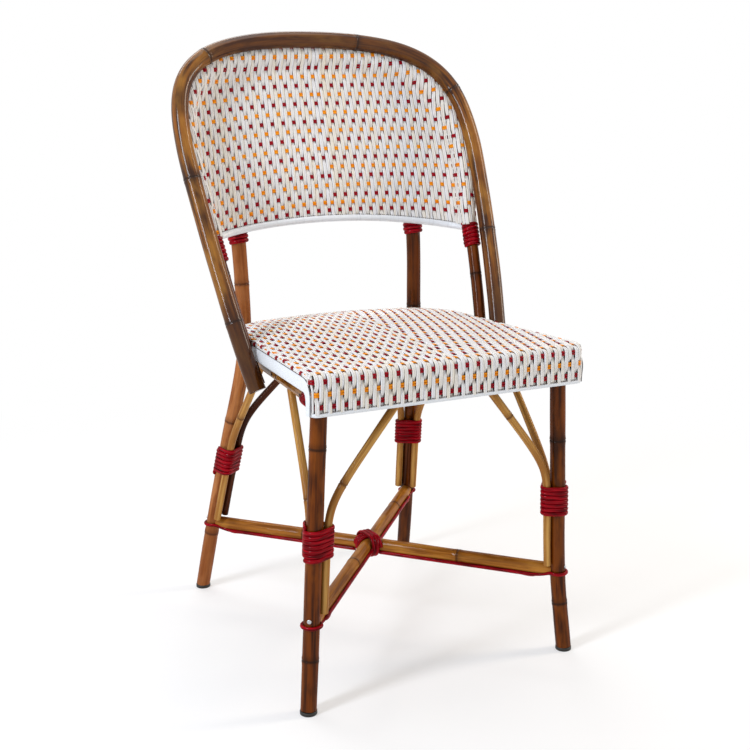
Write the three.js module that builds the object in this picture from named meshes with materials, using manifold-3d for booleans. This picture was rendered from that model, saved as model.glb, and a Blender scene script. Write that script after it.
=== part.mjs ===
// A bistro chair in bent rattan with a woven seat and back, on crossed stretchers.
// x runs to the viewer's right, y to the back and z up from the floor, in millimetres.
import * as THREE from "three";
import { mergeVertices } from "three/addons/utils/BufferGeometryUtils.js";
import Module from "manifold-3d";

const wasm = await Module();
wasm.setup();

// Gaps between pieces
const clearance = 0.3;
const windingGap = 0.95;

// Poles and canes
const legRadius = 11;
const hoopRadius = 12.2;
const panelPoleRadius = 8.8;
const panelRailRadius = 7.2;
const sideRailRadius = 8.5;
const crossRailRadius = 7.5;
const stretcherRadius = 9.5;
const braceRadius = 5.5;
const nodeSwell = 0.7;
const nodeLength = 9;
const blockWidth = 700;

// How finely the round pieces are faceted and how many stations their curves have
const poleSides = 14;
const legSides = 12;
const toolSides = 16;
const caneSides = 8;
const glideSides = 16;
const panelRailSides = 10;
const frontLegSteps = 9;
const rearLegSteps = 22;
const hoopSteps = 54;
const panelPoleSteps = 50;
const railSteps = 4;
const panelRailPoleSteps = 26;
const legToolSteps = 30;
const railToolSteps = 2;
const hoopToolSteps = 120;
const panelRailToolSteps = 80;
const archSteps = 20;
const archFineSteps = 80;
const panelRailSteps = 20;
const panelAcross = 20;
const panelUp = 12;
const halvings = 30;
const mergeDistance = 1e-4;

// Front legs: half width and place in depth at the floor, at the stretchers and at the top
const frontFootX = 205.6;
const frontFootY = -230.7;
const frontTieX = 195.5;
const frontTieY = -222.1;
const frontTopX = 181;
const frontTopY = -223.2;

// Rear legs, which run on upwards as the back posts
const rearFootX = 189.5;
const rearFootY = 230.1;
const rearTieX = 178.5;
const rearTieY = 197.8;
const rearSeatX = 147.7;
const rearSeatY = 121.7;
const rearSeatZ = 411;
const postX = 146.6;
const postY = 122.6;
const postZ = 461;
const postTopX = 149;
const postStandoff = 1.5;

// Feet and stretchers
const glideHeight = 5;
const glideRadius = 11.6;
const glideEdge = 1;
const stretcherZ = 122.6;
const stretcherNodes = [0.27, 0.76];
const lapLengthShare = 4;

// Seat
const seatFrontHalf = 204;
const seatMidHalf = 184.5;
const seatMidY = 0;
const seatFrontY = -250;
const seatRearY = 130;
const seatRearRoundness = 3.2;
const seatCorner = 8;
const seatUnderside = 431.5;
const seatEdgeTop = 459;
const seatCrown = 12.5;
const seatCrownShape = 1.2;
const seatCrownSpread = 0.92;
const seatPeakY = 30;
const seatPeakAhead = 282;
const seatPeakBehind = 102;
const seatFrontSteps = 5;
const seatCornerSteps = 3;
const seatSideSteps = 5;
const seatRearSteps = 12;
const seatTopShares = [0.35, 0.65, 0.86];
const bandTop = 452;
const bandBottom = 433;
const bandDepth = 4;
const apronBend = 441;
const apronBottom = 407;
const apronBinding = 6;
const apronEndY = -238;
const apronEndBlend = 3;
const sideRailDrop = 6.7;
const sideRailNodes = [0.5];

// The seat's rounded edge: how far each step is in from the outline and how far it is below or above a level
const crownIn = 16;
const shoulderIn = 6;
const shoulderDrop = 1;
const shoulderFrontDrop = 5;
const cheekIn = 1.5;
const cheekRise = 4;
const cheekFrontRise = 9;
const brimRise = 1.5;
const brimFrontDrop = 1;
const stepDrop = 0.1;
const apronFootRise = 2;
const innerRise = 1;
const undersideIn = 1;
const undersideRise = 0.4;

// Hoop: a planar arch that leans back, measured along its own slope
const hoopFootX = 196.8;
const hoopFootY = -54;
const hoopFootZ = 397;
const hoopLean = THREE.MathUtils.degToRad(26.34);
const hoopSlopeLength = 532.6;
const hoopWideHalf = 237.6;
const hoopWideAt = 357.8;
const hoopFootHandleX = 20.1;
const hoopFootHandle = 82.4;
const hoopWideHandle = 48.9;
const hoopShoulderHandle = 111.9;
const hoopCrownHandle = 211.1;
const hoopBow = 7.4;

// Inner arch behind the hoop, which carries the woven panel
const panelPoleAngle = THREE.MathUtils.degToRad(33);
const panelPoleFoot = 12;
const panelRailAt = 221;
const panelRailRise = 20;
const panelSag = 61;
const panelSagFade = 0.8;
const panelSagPower = 3;
const panelThickness = 5;
const panelEdgeInset = 5;
const panelCornerShare = 0.36;
const panelPoleSpread = 7;
const panelSpreadFrom = 225;
const panelSpreadTo = 320;
const crownMargin = 1;

// Braces bend away from the leg above the wrap
const braceFootZ = 133;
const braceBendSoftness = 14;
const crossNode = [0.72];
const sideNode = [0.62];
const braceBends = {
  front_cross: { height: 281, slope: 0.76 },
  front_side: { height: 266, slope: 0.68 },
  rear_cross: { height: 305, slope: 0.84 },
  rear_side: { height: 276, slope: 0.54 },
};

// Red cane windings
const strandRadius = 2.75;
const strandPitch = 6.3;
const strandSides = 5;
const turnSteps = 12;
const legWrapFoot = 210;
const legWrapTurns = 7;
const railWrapTurns = 3;
const railWrapFrom = 20;
const panelWrapTurns = 6;
const postWrapTurns = 3;
const postWrapTop = 583;
const tieRadius = 2.2;
const tieRise = 8;
const tieStart = 27;
const tieLoopSteps = 12;
const tieSwing = THREE.MathUtils.degToRad(112);
const tieRunShares = [0.35, 0.65];
const tieRunEnd = 28.6;
const lashRadius = 2.3;
const lashTurns = 3;
const lashPitch = 5.6;
const lashSteps = 16;
const lashBulge = 0.2;

const colours = {
  rattan: { color: 0x7a4a1c, roughness: 0.3, metalness: 0 },
  cane: { color: 0xd4a865, roughness: 0.45, metalness: 0 },
  darkCane: { color: 0x4a2812, roughness: 0.4, metalness: 0 },
  weave: { color: 0xe9e9e4, roughness: 0.5, metalness: 0 },
  strand: { color: 0xb3001e, roughness: 0.25, metalness: 0 },
  glide: { color: 0x1b1b1b, roughness: 0.7, metalness: 0 },
};

const chair = new THREE.Group();

// Adds one named piece to the chair.
function addPiece(name, geometry, finish) {
  const mesh = new THREE.Mesh(geometry, new THREE.MeshStandardMaterial(colours[finish]));
  mesh.name = name;
  chair.add(mesh);
  return mesh;
}

// Boolean helpers
function solidOf(geometry) {
  const bare = new THREE.BufferGeometry();
  bare.setAttribute("position", geometry.getAttribute("position").clone());
  if (geometry.index) {
    bare.setIndex(geometry.index.clone());
  }
  const merged = mergeVertices(bare, mergeDistance);
  return new wasm.Manifold(
    new wasm.Mesh({
      numProp: 3,
      vertProperties: merged.getAttribute("position").array,
      triVerts: new Uint32Array(merged.index.array),
    }),
  );
}

function geometryOf(solid) {
  const mesh = solid.getMesh();
  const geometry = new THREE.BufferGeometry();
  geometry.setAttribute("position", new THREE.BufferAttribute(mesh.vertProperties, 3));
  geometry.setIndex(new THREE.BufferAttribute(mesh.triVerts, 1));
  geometry.computeVertexNormals();
  return geometry;
}

function cut(geometry, ...tools) {
  const rest = tools.reduce((solid, tool) => solid.subtract(solidOf(tool)), solidOf(geometry));
  return geometryOf(rest);
}

// A geometry from flat lists of coordinates and of corners
function indexed(vertices, index) {
  const geometry = new THREE.BufferGeometry();
  geometry.setAttribute("position", new THREE.Float32BufferAttribute(vertices, 3));
  geometry.setIndex(index);
  geometry.computeVertexNormals();
  return geometry;
}

// A closed tube through the points, with one radius or one for each point.
function tube(points, radii, sides) {
  const radiusAt = (i) => (Array.isArray(radii) ? radii[i] : radii);
  const last = points.length - 1;
  const tangentAt = (i) =>
    points[Math.min(i + 1, last)].clone().sub(points[Math.max(i - 1, 0)]).normalize();
  const vertices = [];
  const index = [];
  let normal = null;
  points.forEach((point, i) => {
    const tangent = tangentAt(i);
    if (normal === null) {
      const helper = Math.abs(tangent.z) < Math.SQRT1_2 ? new THREE.Vector3(0, 0, 1) : new THREE.Vector3(1, 0, 0);
      normal = helper.cross(tangent).normalize();
    }
    normal.addScaledVector(tangent, -normal.dot(tangent)).normalize();
    const across = tangent.clone().cross(normal);
    for (let k = 0; k < sides; k += 1) {
      const angle = (2 * Math.PI * k) / sides;
      const vertex = point.clone();
      vertex.addScaledVector(normal, radiusAt(i) * Math.cos(angle));
      vertex.addScaledVector(across, radiusAt(i) * Math.sin(angle));
      vertices.push(vertex.x, vertex.y, vertex.z);
    }
  });
  for (let i = 0; i < last; i += 1) {
    for (let k = 0; k < sides; k += 1) {
      const a = i * sides + k;
      const b = i * sides + ((k + 1) % sides);
      index.push(a, b, b + sides, a, b + sides, a + sides);
    }
  }
  for (let k = 1; k < sides - 1; k += 1) {
    index.push(0, k + 1, k);
    index.push(last * sides, last * sides + k, last * sides + k + 1);
  }
  return indexed(vertices, index);
}

// A rattan pole along a curve: each node, at a share of the length, swells the pole into a low ring.
function pole(curve, radius, steps, nodeShares = [], sides = poleSides) {
  const reach = nodeLength / 2 / curve.getLength();
  const plain = Array.from({ length: steps + 1 }, (_, i) => i / steps);
  const kept = plain.filter((u) => nodeShares.every((n) => Math.abs(u - n) > 2 * reach));
  const stations = kept.map((u) => ({ u, radius }));
  nodeShares.forEach((n) => {
    stations.push({ u: n - reach, radius });
    stations.push({ u: n, radius: radius + nodeSwell });
    stations.push({ u: n + reach, radius });
  });
  stations.sort((a, b) => a.u - b.u);
  return tube(
    stations.map((s) => curve.getPointAt(s.u)),
    stations.map((s) => s.radius),
    sides,
  );
}

const smooth = (points) => new THREE.CatmullRomCurve3(points, false, "centripetal");

// Mirrors a point for the chair's left side.
const onSide = (side, x, y, z) => new THREE.Vector3(side * x, y, z);

// A level block that takes everything between two heights
function levelBlock(low, high) {
  const block = new THREE.BoxGeometry(blockWidth, blockWidth, high - low);
  return block.translate(0, 0, (low + high) / 2);
}

// Legs
const frontTopZ = seatUnderside - clearance;
const legFootZ = glideHeight + clearance;

function frontLegCurve(side) {
  return smooth([
    onSide(side, frontFootX, frontFootY, 0),
    onSide(side, frontTieX, frontTieY, stretcherZ),
    onSide(side, (frontTieX + frontTopX) / 2, (frontTieY + frontTopY) / 2, (stretcherZ + frontTopZ) / 2),
    onSide(side, frontTopX, frontTopY, frontTopZ + legRadius),
  ]);
}

// Nothing at both ends of a length and one in its middle
const bowed = (share) => 1 - (2 * share - 1) ** 2;

// The point of the hoop's plane at a half width and a length up the slope, set back by a depth.
function onSlope(width, slope, depth) {
  const back = depth - hoopBow * bowed(slope / hoopSlopeLength);
  return new THREE.Vector3(
    width,
    hoopFootY + slope * Math.sin(hoopLean) + back * Math.cos(hoopLean),
    hoopFootZ + slope * Math.cos(hoopLean) - back * Math.sin(hoopLean),
  );
}

const hoopSide = new THREE.CubicBezierCurve(
  new THREE.Vector2(hoopFootX, 0),
  new THREE.Vector2(hoopFootX + hoopFootHandleX, hoopFootHandle),
  new THREE.Vector2(hoopWideHalf, hoopWideAt - hoopWideHandle),
  new THREE.Vector2(hoopWideHalf, hoopWideAt),
);
const hoopShoulder = new THREE.CubicBezierCurve(
  new THREE.Vector2(hoopWideHalf, hoopWideAt),
  new THREE.Vector2(hoopWideHalf, hoopWideAt + hoopShoulderHandle),
  new THREE.Vector2(hoopCrownHandle, hoopSlopeLength),
  new THREE.Vector2(0, hoopSlopeLength),
);
const hoopHalf = new THREE.CurvePath();
hoopHalf.add(hoopSide);
hoopHalf.add(hoopShoulder);

// The right half of an arch that follows the hoop at an inset, from its foot to its crown, as flat points
function archHalf(insetAt, steps) {
  return Array.from({ length: steps + 1 }, (_, i) => {
    const point = hoopHalf.getPointAt(i / steps);
    const tangent = hoopHalf.getTangentAt(i / steps);
    const inset = insetAt(point.y);
    return new THREE.Vector2(point.x - inset * tangent.y, point.y + inset * tangent.x);
  });
}

// A whole arch through both halves, set back by a depth, from the left foot over to the right
function archCurve(insetAt, depthAt, footSlope = 0) {
  const half = archHalf(insetAt, archSteps).filter((p) => p.y >= footSlope);
  const right = half.map((p) => onSlope(p.x, p.y, depthAt(p.y)));
  const left = half.slice(0, -1).map((p) => onSlope(-p.x, p.y, depthAt(p.y)));
  return smooth([...left, ...right.reverse()]);
}

// The inner arch touches the hoop along the panel and stands off it below, where the wraps pass between.
const poleSpacing = hoopRadius + panelPoleRadius + clearance + nodeSwell;
const spreadAt = (slope) => panelPoleSpread * (1 - THREE.MathUtils.smoothstep(slope, panelSpreadFrom, panelSpreadTo));
const panelInsetAt = (slope) => (poleSpacing + spreadAt(slope)) * Math.sin(panelPoleAngle);
const panelDepthAt = (slope) => (poleSpacing + spreadAt(slope)) * Math.cos(panelPoleAngle);
const nothing = () => 0;
const hoopCurve = archCurve(nothing, nothing);
const panelPoleCurve = archCurve(panelInsetAt, panelDepthAt, panelPoleFoot);

// The inner arch in the flat, to read its half width at a length up the slope
const panelHalf = archHalf(panelInsetAt, archFineSteps);

function interpolate(points, key, value, at) {
  const i = points.findIndex((p, k) => k > 0 && (points[k - 1][key] - at) * (p[key] - at) <= 0);
  const a = points[Math.max(i, 1) - 1];
  const b = points[Math.max(i, 1)];
  return a[value] + ((b[value] - a[value]) * (at - a[key])) / (b[key] - a[key]);
}

const panelCrownSlope = panelHalf[panelHalf.length - 1].y;
const panelWidthAt = (slope) => interpolate(panelHalf, "y", "x", slope);

// How far the woven panel is set back of the inner arch: deep at the bottom and nothing at the crown
function panelSagAt(width, slope) {
  const half = panelWidthAt(Math.min(slope, panelCrownSlope - crownMargin)) - panelEdgeInset;
  const share = Math.min(Math.abs(width) / half, 1);
  const up = THREE.MathUtils.clamp((slope - panelRailAt) / (panelCrownSlope - panelRailAt), 0, 1);
  return panelSag * (1 - up) ** panelSagFade * (1 - share ** panelSagPower) ** (1 / panelSagPower);
}

// A point of the woven panel. The sag runs straight back, level with the floor.
function onPanel(width, slope) {
  const point = onSlope(width, slope, panelDepthAt(slope));
  point.y += panelSagAt(width, slope);
  return point;
}

// The slope height of the panel's lower edge at a share of its half width
const railSlopeAt = (share) => panelRailAt + panelRailRise * (1 - share * share);

// Spreads even steps from -1 to 1 towards both ends, where the panel turns forward.
function panelShare(t) {
  return Math.sign(t) * Math.sin((Math.abs(t) * Math.PI) / 2) ** (2 / panelSagPower);
}

const panelRailHalf = panelWidthAt(panelRailAt) - panelEdgeInset;
const panelRail = smooth(
  Array.from({ length: panelRailSteps + 1 }, (_, i) => {
    const share = panelShare((2 * i) / panelRailSteps - 1);
    return onPanel(share * panelRailHalf, railSlopeAt(share));
  }),
);

// The posts pass just behind the panel's bottom rail and end behind the inner arch.
const postShare = postTopX / panelRailHalf;
const postMid = onPanel(postTopX, railSlopeAt(postShare));
postMid.y += panelRailRadius + legRadius + clearance + nodeSwell;
const postTopSlope = interpolate(panelHalf, "x", "y", postTopX);
const postTop = onSlope(
  postTopX,
  postTopSlope,
  panelDepthAt(postTopSlope) + panelPoleRadius + legRadius + clearance + postStandoff,
);

function rearLegCurve(side) {
  return smooth([
    onSide(side, rearFootX, rearFootY, 0),
    onSide(side, rearTieX, rearTieY, stretcherZ),
    onSide(side, (rearTieX + rearSeatX) / 2, (rearTieY + rearSeatY) / 2, (stretcherZ + rearSeatZ) / 2),
    onSide(side, rearSeatX, rearSeatY, rearSeatZ),
    onSide(side, postX, postY, postZ),
    onSide(side, postTopX, postMid.y, postMid.z),
    onSide(side, postTopX, postTop.y, postTop.z),
  ]);
}

// The point of a rising curve at a height
function atHeight(curve, z) {
  let low = 0;
  let high = 1;
  for (let i = 0; i < halvings; i += 1) {
    const middle = (low + high) / 2;
    if (curve.getPointAt(middle).z < z) {
      low = middle;
    } else {
      high = middle;
    }
  }
  return curve.getPointAt((low + high) / 2);
}

const sides = { left: -1, right: 1 };
const frontNodes = { left: [0.8], right: [0.74] };
const rearNodes = { left: [0.36, 0.62], right: [0.4, 0.555] };
const hoopNodes = [0.07, 0.22, 0.37, 0.55, 0.68, 0.85];
const panelPoleNodes = [0.3, 0.47, 0.68];
const frontLegs = {};
const rearLegs = {};
const belowFeet = levelBlock(-2 * legRadius, legFootZ);
const aboveFrontLegs = levelBlock(frontTopZ, frontTopZ + 2 * legRadius);
for (const [name, side] of Object.entries(sides)) {
  frontLegs[name] = frontLegCurve(side);
  rearLegs[name] = rearLegCurve(side);
  const frontLeg = pole(frontLegs[name], legRadius, frontLegSteps, frontNodes[name], legSides);
  const rearLeg = pole(rearLegs[name], legRadius, rearLegSteps, rearNodes[name], legSides);
  addPiece(`front_leg_${name}`, cut(frontLeg, belowFeet, aboveFrontLegs), "rattan");
  addPiece(`rear_leg_${name}`, cut(rearLeg, belowFeet), "rattan");
}

addPiece("back_hoop", pole(hoopCurve, hoopRadius, hoopSteps, hoopNodes), "rattan");
const panelPole = pole(panelPoleCurve, panelPoleRadius, panelPoleSteps, panelPoleNodes, legSides);
addPiece("panel_frame", panelPole, "rattan");

// Rails under the seat, coped to the legs. The side rails hang lower than the two cross rails.
const crossRailZ = seatUnderside - clearance - crossRailRadius;
const sideRailZ = seatUnderside - sideRailDrop - sideRailRadius;

// A tube that clears a pole, and its node rings where it has any, to cut the pieces that meet it
function around(curve, radius, steps, swell = 0) {
  const reach = (radius + clearance + swell) / Math.cos(Math.PI / toolSides);
  return tube(curve.getSpacedPoints(steps), reach, toolSides);
}

const legTool = (curve) => around(curve, legRadius, legToolSteps);
const railTool = (curve, radius) => around(curve, radius, railToolSteps);
const railCurve = (from, to) => new THREE.LineCurve3(from, to);

const sideRails = {};
for (const name of Object.keys(sides)) {
  const front = atHeight(frontLegs[name], sideRailZ);
  const rear = atHeight(rearLegs[name], sideRailZ);
  sideRails[name] = railCurve(front, rear);
  const rail = pole(sideRails[name], sideRailRadius, railSteps, sideRailNodes, legSides);
  addPiece(`side_rail_${name}`, cut(rail, legTool(frontLegs[name]), legTool(rearLegs[name])), "rattan");
}
const sideRailTools = Object.values(sideRails).map((curve) => railTool(curve, sideRailRadius));
const crossRails = {};
for (const [name, legs] of Object.entries({ front: frontLegs, rear: rearLegs })) {
  crossRails[name] = railCurve(atHeight(legs.left, crossRailZ), atHeight(legs.right, crossRailZ));
  const rail = pole(crossRails[name], crossRailRadius, railSteps, [], legSides);
  addPiece(`${name}_rail`, cut(rail, legTool(legs.left), legTool(legs.right), ...sideRailTools), "rattan");
}

// Crossed stretchers with a half lap where they meet
const tieAt = {
  front: (name) => atHeight(frontLegs[name], stretcherZ),
  rear: (name) => atHeight(rearLegs[name], stretcherZ),
};
const stretcherEnds = {
  over: [tieAt.front("left"), tieAt.rear("right")],
  under: [tieAt.rear("left"), tieAt.front("right")],
};
const stretcherLegs = {
  over: [frontLegs.left, rearLegs.right],
  under: [rearLegs.left, frontLegs.right],
};
const crossing = new THREE.Vector3(
  0,
  THREE.MathUtils.lerp(frontTieY, rearTieY, frontTieX / (frontTieX + rearTieX)),
  stretcherZ,
);

// A block that takes the half of a stretcher above or below its axis, as wide as the other stretcher.
function lapBlock(along, upper) {
  const direction = along[1].clone().sub(along[0]).normalize();
  const width = 2 * (stretcherRadius + clearance);
  const height = 2 * stretcherRadius;
  const block = new THREE.BoxGeometry(lapLengthShare * stretcherRadius, width, height);
  block.translate(0, 0, (upper ? 1 : -1) * (height / 2 - clearance / 2));
  block.rotateZ(Math.atan2(direction.y, direction.x));
  block.translate(crossing.x, crossing.y, crossing.z);
  return block;
}

for (const [name, ends] of Object.entries(stretcherEnds)) {
  const other = name === "over" ? "under" : "over";
  const bar = pole(railCurve(...ends), stretcherRadius, railSteps, stretcherNodes, legSides);
  const tools = stretcherLegs[name].map(legTool);
  tools.push(lapBlock(stretcherEnds[other], name === "under"));
  addPiece(`stretcher_${name}`, cut(bar, ...tools), "rattan");
}

// Braces: canes that stand along a leg, then bend away to the rail
const braceOffset = legRadius + braceRadius + clearance + nodeSwell;

function braceReach(bend, z) {
  const past = Math.log1p(Math.exp((z - bend.height) / braceBendSoftness));
  return braceOffset + bend.slope * braceBendSoftness * past;
}

function bracePoint(leg, direction, bend, z) {
  return atHeight(leg, z).addScaledVector(direction, braceReach(bend, z));
}

const braceHeightShares = [0, 0.14, 0.28, 0.4, 0.5, 0.58, 0.66, 0.78, 0.9, 1];

function braceCurve(leg, direction, bend, topZ) {
  const heights = braceHeightShares.map((share) => THREE.MathUtils.lerp(braceFootZ, topZ, share));
  return smooth(heights.map((z) => bracePoint(leg, direction, bend, z)));
}

const braceFrames = [];
for (const [name, side] of Object.entries(sides)) {
  const along = sideRails[name].getTangentAt(0).setZ(0).normalize();
  const inward = new THREE.Vector3(-side, 0, 0);
  for (const end of ["front", "rear"]) {
    braceFrames.push({
      corner: `${end}_${name}`,
      leg: end === "front" ? frontLegs[name] : rearLegs[name],
      inward,
      lengthways: end === "front" ? along : along.clone().negate(),
      crossBend: braceBends[`${end}_cross`],
      sideBend: braceBends[`${end}_side`],
      crossRail: crossRails[end],
      sideRail: sideRails[name],
    });
  }
}
for (const frame of braceFrames) {
  const cross = braceCurve(frame.leg, frame.inward, frame.crossBend, crossRailZ);
  const lengthways = braceCurve(frame.leg, frame.lengthways, frame.sideBend, sideRailZ);
  const steps = braceHeightShares.length + 1;
  const finish = frame.corner === "rear_left" ? "darkCane" : "cane";
  const crossCane = pole(cross, braceRadius, steps, crossNode, caneSides);
  const sideCane = pole(lengthways, braceRadius, steps, sideNode, caneSides);
  const crossTools = [railTool(frame.crossRail, crossRailRadius), railTool(frame.sideRail, sideRailRadius)];
  addPiece(`brace_${frame.corner}_cross`, cut(crossCane, ...crossTools), finish);
  addPiece(`brace_${frame.corner}_side`, cut(sideCane, railTool(frame.sideRail, sideRailRadius)), "cane");
}

// Feet
for (const [name, side] of Object.entries(sides)) {
  const glide = () =>
    new THREE.LatheGeometry(
      [
        new THREE.Vector2(0, 0),
        new THREE.Vector2(glideRadius - glideEdge, 0),
        new THREE.Vector2(glideRadius, glideEdge),
        new THREE.Vector2(glideRadius, glideHeight),
        new THREE.Vector2(0, glideHeight),
      ],
      glideSides,
    ).rotateX(Math.PI / 2);
  const front = addPiece(`glide_front_${name}`, glide(), "glide");
  front.position.set(side * frontFootX, frontFootY, 0);
  const rear = addPiece(`glide_rear_${name}`, glide(), "glide");
  rear.position.set(side * rearFootX, rearFootY, 0);
}

// Seat: a crowned woven slab whose front drops into an apron

// The right half of the seat's outline, from the middle of the front to the middle of the back.
function seatHalfOutline() {
  const points = [];
  for (let i = 0; i <= seatFrontSteps; i += 1) {
    points.push(new THREE.Vector2(((seatFrontHalf - seatCorner) * i) / seatFrontSteps, seatFrontY));
  }
  for (let i = 1; i <= seatCornerSteps; i += 1) {
    const angle = ((i / seatCornerSteps - 1) * Math.PI) / 2;
    points.push(
      new THREE.Vector2(
        seatFrontHalf - seatCorner + seatCorner * Math.cos(angle),
        seatFrontY + seatCorner + seatCorner * Math.sin(angle),
      ),
    );
  }
  const cornerY = seatFrontY + seatCorner;
  const sideAt = (y) => {
    const share = (y - cornerY) / (seatMidY - cornerY);
    return new THREE.Vector2(THREE.MathUtils.lerp(seatFrontHalf, seatMidHalf, share), y);
  };
  points.push(sideAt(apronEndY));
  points.push(sideAt(apronEndY + apronEndBlend));
  const sideFrom = apronEndY + apronEndBlend;
  for (let i = 1; i <= seatSideSteps; i += 1) {
    points.push(sideAt(THREE.MathUtils.lerp(sideFrom, seatMidY, i / seatSideSteps)));
  }
  for (let i = 1; i <= seatRearSteps; i += 1) {
    const angle = (i / seatRearSteps) * (Math.PI / 2);
    points.push(
      new THREE.Vector2(
        seatMidHalf * Math.cos(angle) ** (2 / seatRearRoundness),
        seatMidY + (seatRearY - seatMidY) * Math.sin(angle) ** (2 / seatRearRoundness),
      ),
    );
  }
  points[points.length - 1].x = 0;
  return points;
}

const seatHalf = seatHalfOutline();
const seatLeftHalf = seatHalf.slice(1, -1).reverse().map((p) => new THREE.Vector2(-p.x, p.y));
const seatOutline = [...seatHalf, ...seatLeftHalf];
const seatCentre = new THREE.Vector2(0, (seatFrontY + seatRearY) / 2);

// 1 on the front apron, 0 along the sides and the back
const apronWeight = seatOutline.map((point) =>
  THREE.MathUtils.clamp((apronEndY + apronEndBlend - point.y) / apronEndBlend, 0, 1),
);

// The crown is highest toward the back and falls away to the front and the sides.
function seatTopZ(point) {
  const x = point.x / seatMidHalf;
  const y = (point.y - seatPeakY) / (point.y < seatPeakY ? seatPeakAhead : seatPeakBehind);
  const away = Math.min(seatCrownSpread * x * x + y * y, 1);
  return seatEdgeTop + seatCrown * (1 - away) ** seatCrownShape;
}

const apronInset = frontTopY - legRadius - clearance - seatFrontY - nodeSwell;
const apronWeaveBottom = apronBottom + apronBinding + clearance;
const bandInset = bandDepth + clearance;

// The seat from its top down: how far each ring is in from the outline, and its height, by the sides and by the apron
const seatRings = [
  { sideIn: crownIn, frontIn: crownIn },
  { sideIn: shoulderIn, frontIn: shoulderIn, side: seatEdgeTop - shoulderDrop, front: seatEdgeTop - shoulderFrontDrop },
  { sideIn: cheekIn, frontIn: cheekIn, side: bandTop + cheekRise, front: apronBend + cheekFrontRise },
  { sideIn: 0, frontIn: 0, side: bandTop + brimRise, front: apronBend },
  { sideIn: 0, frontIn: 0, side: bandTop + clearance, front: apronBend - brimFrontDrop },
  { sideIn: bandInset, frontIn: 0, side: bandTop + clearance - stepDrop, front: apronWeaveBottom + apronFootRise },
  { sideIn: bandInset, frontIn: 0, side: seatUnderside + innerRise, front: apronWeaveBottom },
  {
    sideIn: bandInset + undersideIn,
    frontIn: apronInset - undersideIn,
    side: seatUnderside + undersideRise,
    front: apronWeaveBottom,
  },
  { sideIn: apronInset, frontIn: apronInset, side: seatUnderside, front: seatUnderside },
];

// One ring of the seat. The first has no height of its own and lies on the crown.
function seatRing(ring) {
  const count = seatOutline.length;
  return seatOutline.map((point, i) => {
    const before = seatOutline[(i + count - 1) % count];
    const after = seatOutline[(i + 1) % count];
    const tangent = after.clone().sub(before).normalize();
    const distance = THREE.MathUtils.lerp(ring.sideIn, ring.frontIn, apronWeight[i]);
    const inner = new THREE.Vector2(point.x - distance * tangent.y, point.y + distance * tangent.x);
    const level = () => THREE.MathUtils.lerp(ring.side, ring.front, apronWeight[i]);
    const height = ring.side === undefined ? seatTopZ(inner) : level();
    return new THREE.Vector3(inner.x, inner.y, height);
  });
}

function seatGeometry() {
  const inner = seatRing(seatRings[0]);
  const rings = seatTopShares.map((share) =>
    inner.map((point) => {
      const flat = new THREE.Vector2(point.x, point.y).lerp(seatCentre, 1 - share);
      return new THREE.Vector3(flat.x, flat.y, seatTopZ(flat));
    }),
  );
  rings.push(...seatRings.map(seatRing));
  const count = seatOutline.length;
  const vertices = rings.flat().flatMap((p) => [p.x, p.y, p.z]);
  const top = rings.length * count;
  vertices.push(seatCentre.x, seatCentre.y, seatTopZ(seatCentre));
  vertices.push(seatCentre.x, seatCentre.y, seatUnderside);
  const index = [];
  for (let k = 0; k < count; k += 1) {
    const next = (k + 1) % count;
    index.push(top, k, next);
    for (let r = 0; r < rings.length - 1; r += 1) {
      const a = r * count;
      const b = (r + 1) * count;
      index.push(a + k, b + k, b + next, a + k, b + next, a + next);
    }
    const last = (rings.length - 1) * count;
    index.push(top + 1, last + next, last + k);
  }
  return indexed(vertices, index);
}

// A flat strip along the outline between two of its points, with a square section
function outlineStrip(from, to, depth, low, high) {
  const outer = seatRing({ sideIn: 0, frontIn: 0, side: low, front: low });
  const inner = seatRing({ sideIn: depth, frontIn: depth, side: low, front: low });
  const count = seatOutline.length;
  const vertices = [];
  const stations = (to - from + count) % count;
  for (let i = 0; i <= stations; i += 1) {
    const a = outer[(from + i) % count];
    const b = inner[(from + i) % count];
    vertices.push(a.x, a.y, low, a.x, a.y, high, b.x, b.y, high, b.x, b.y, low);
  }
  const index = [];
  for (let i = 0; i < stations; i += 1) {
    for (let k = 0; k < 4; k += 1) {
      const a = 4 * i + k;
      const b = 4 * i + ((k + 1) % 4);
      index.push(a, a + 4, b + 4, a, b + 4, b);
    }
  }
  const last = 4 * stations;
  index.push(0, 1, 2, 0, 2, 3, last, last + 2, last + 1, last, last + 3, last + 2);
  return indexed(vertices, index);
}

const hoopTool = around(hoopCurve, hoopRadius, hoopToolSteps);
const panelPoleTool = around(panelPoleCurve, panelPoleRadius, hoopToolSteps, nodeSwell);
const postTools = Object.values(rearLegs).map(legTool);
addPiece("seat_weave", cut(seatGeometry(), panelPoleTool, hoopTool, ...postTools), "weave");

// The flat white band around the seat's sides and back, and the binding along the apron's lower edge
const apronEnd = apronWeight.findIndex((weight, i) => weight === 0 && i > 0);
const bandEnd = seatOutline.length - apronEnd;
const band = outlineStrip(apronEnd, bandEnd, bandDepth, bandBottom, bandTop);
addPiece("seat_side_band", cut(band, panelPoleTool, hoopTool), "weave");
const binding = outlineStrip(bandEnd, apronEnd, apronInset, apronBottom, apronBottom + apronBinding);
addPiece("apron_binding", binding, "weave");

// Back panel: a thin curved sheet between the inner arch and its bottom rail
const bottomRail = pole(panelRail, panelRailRadius, panelRailPoleSteps, [], panelRailSides);
addPiece("panel_bottom_rail", cut(bottomRail, panelPoleTool), "weave");

const panelArch = archHalf((slope) => panelInsetAt(slope) + panelEdgeInset, archFineSteps);
const panelFoot = panelRailAt + panelRailRadius;

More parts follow.
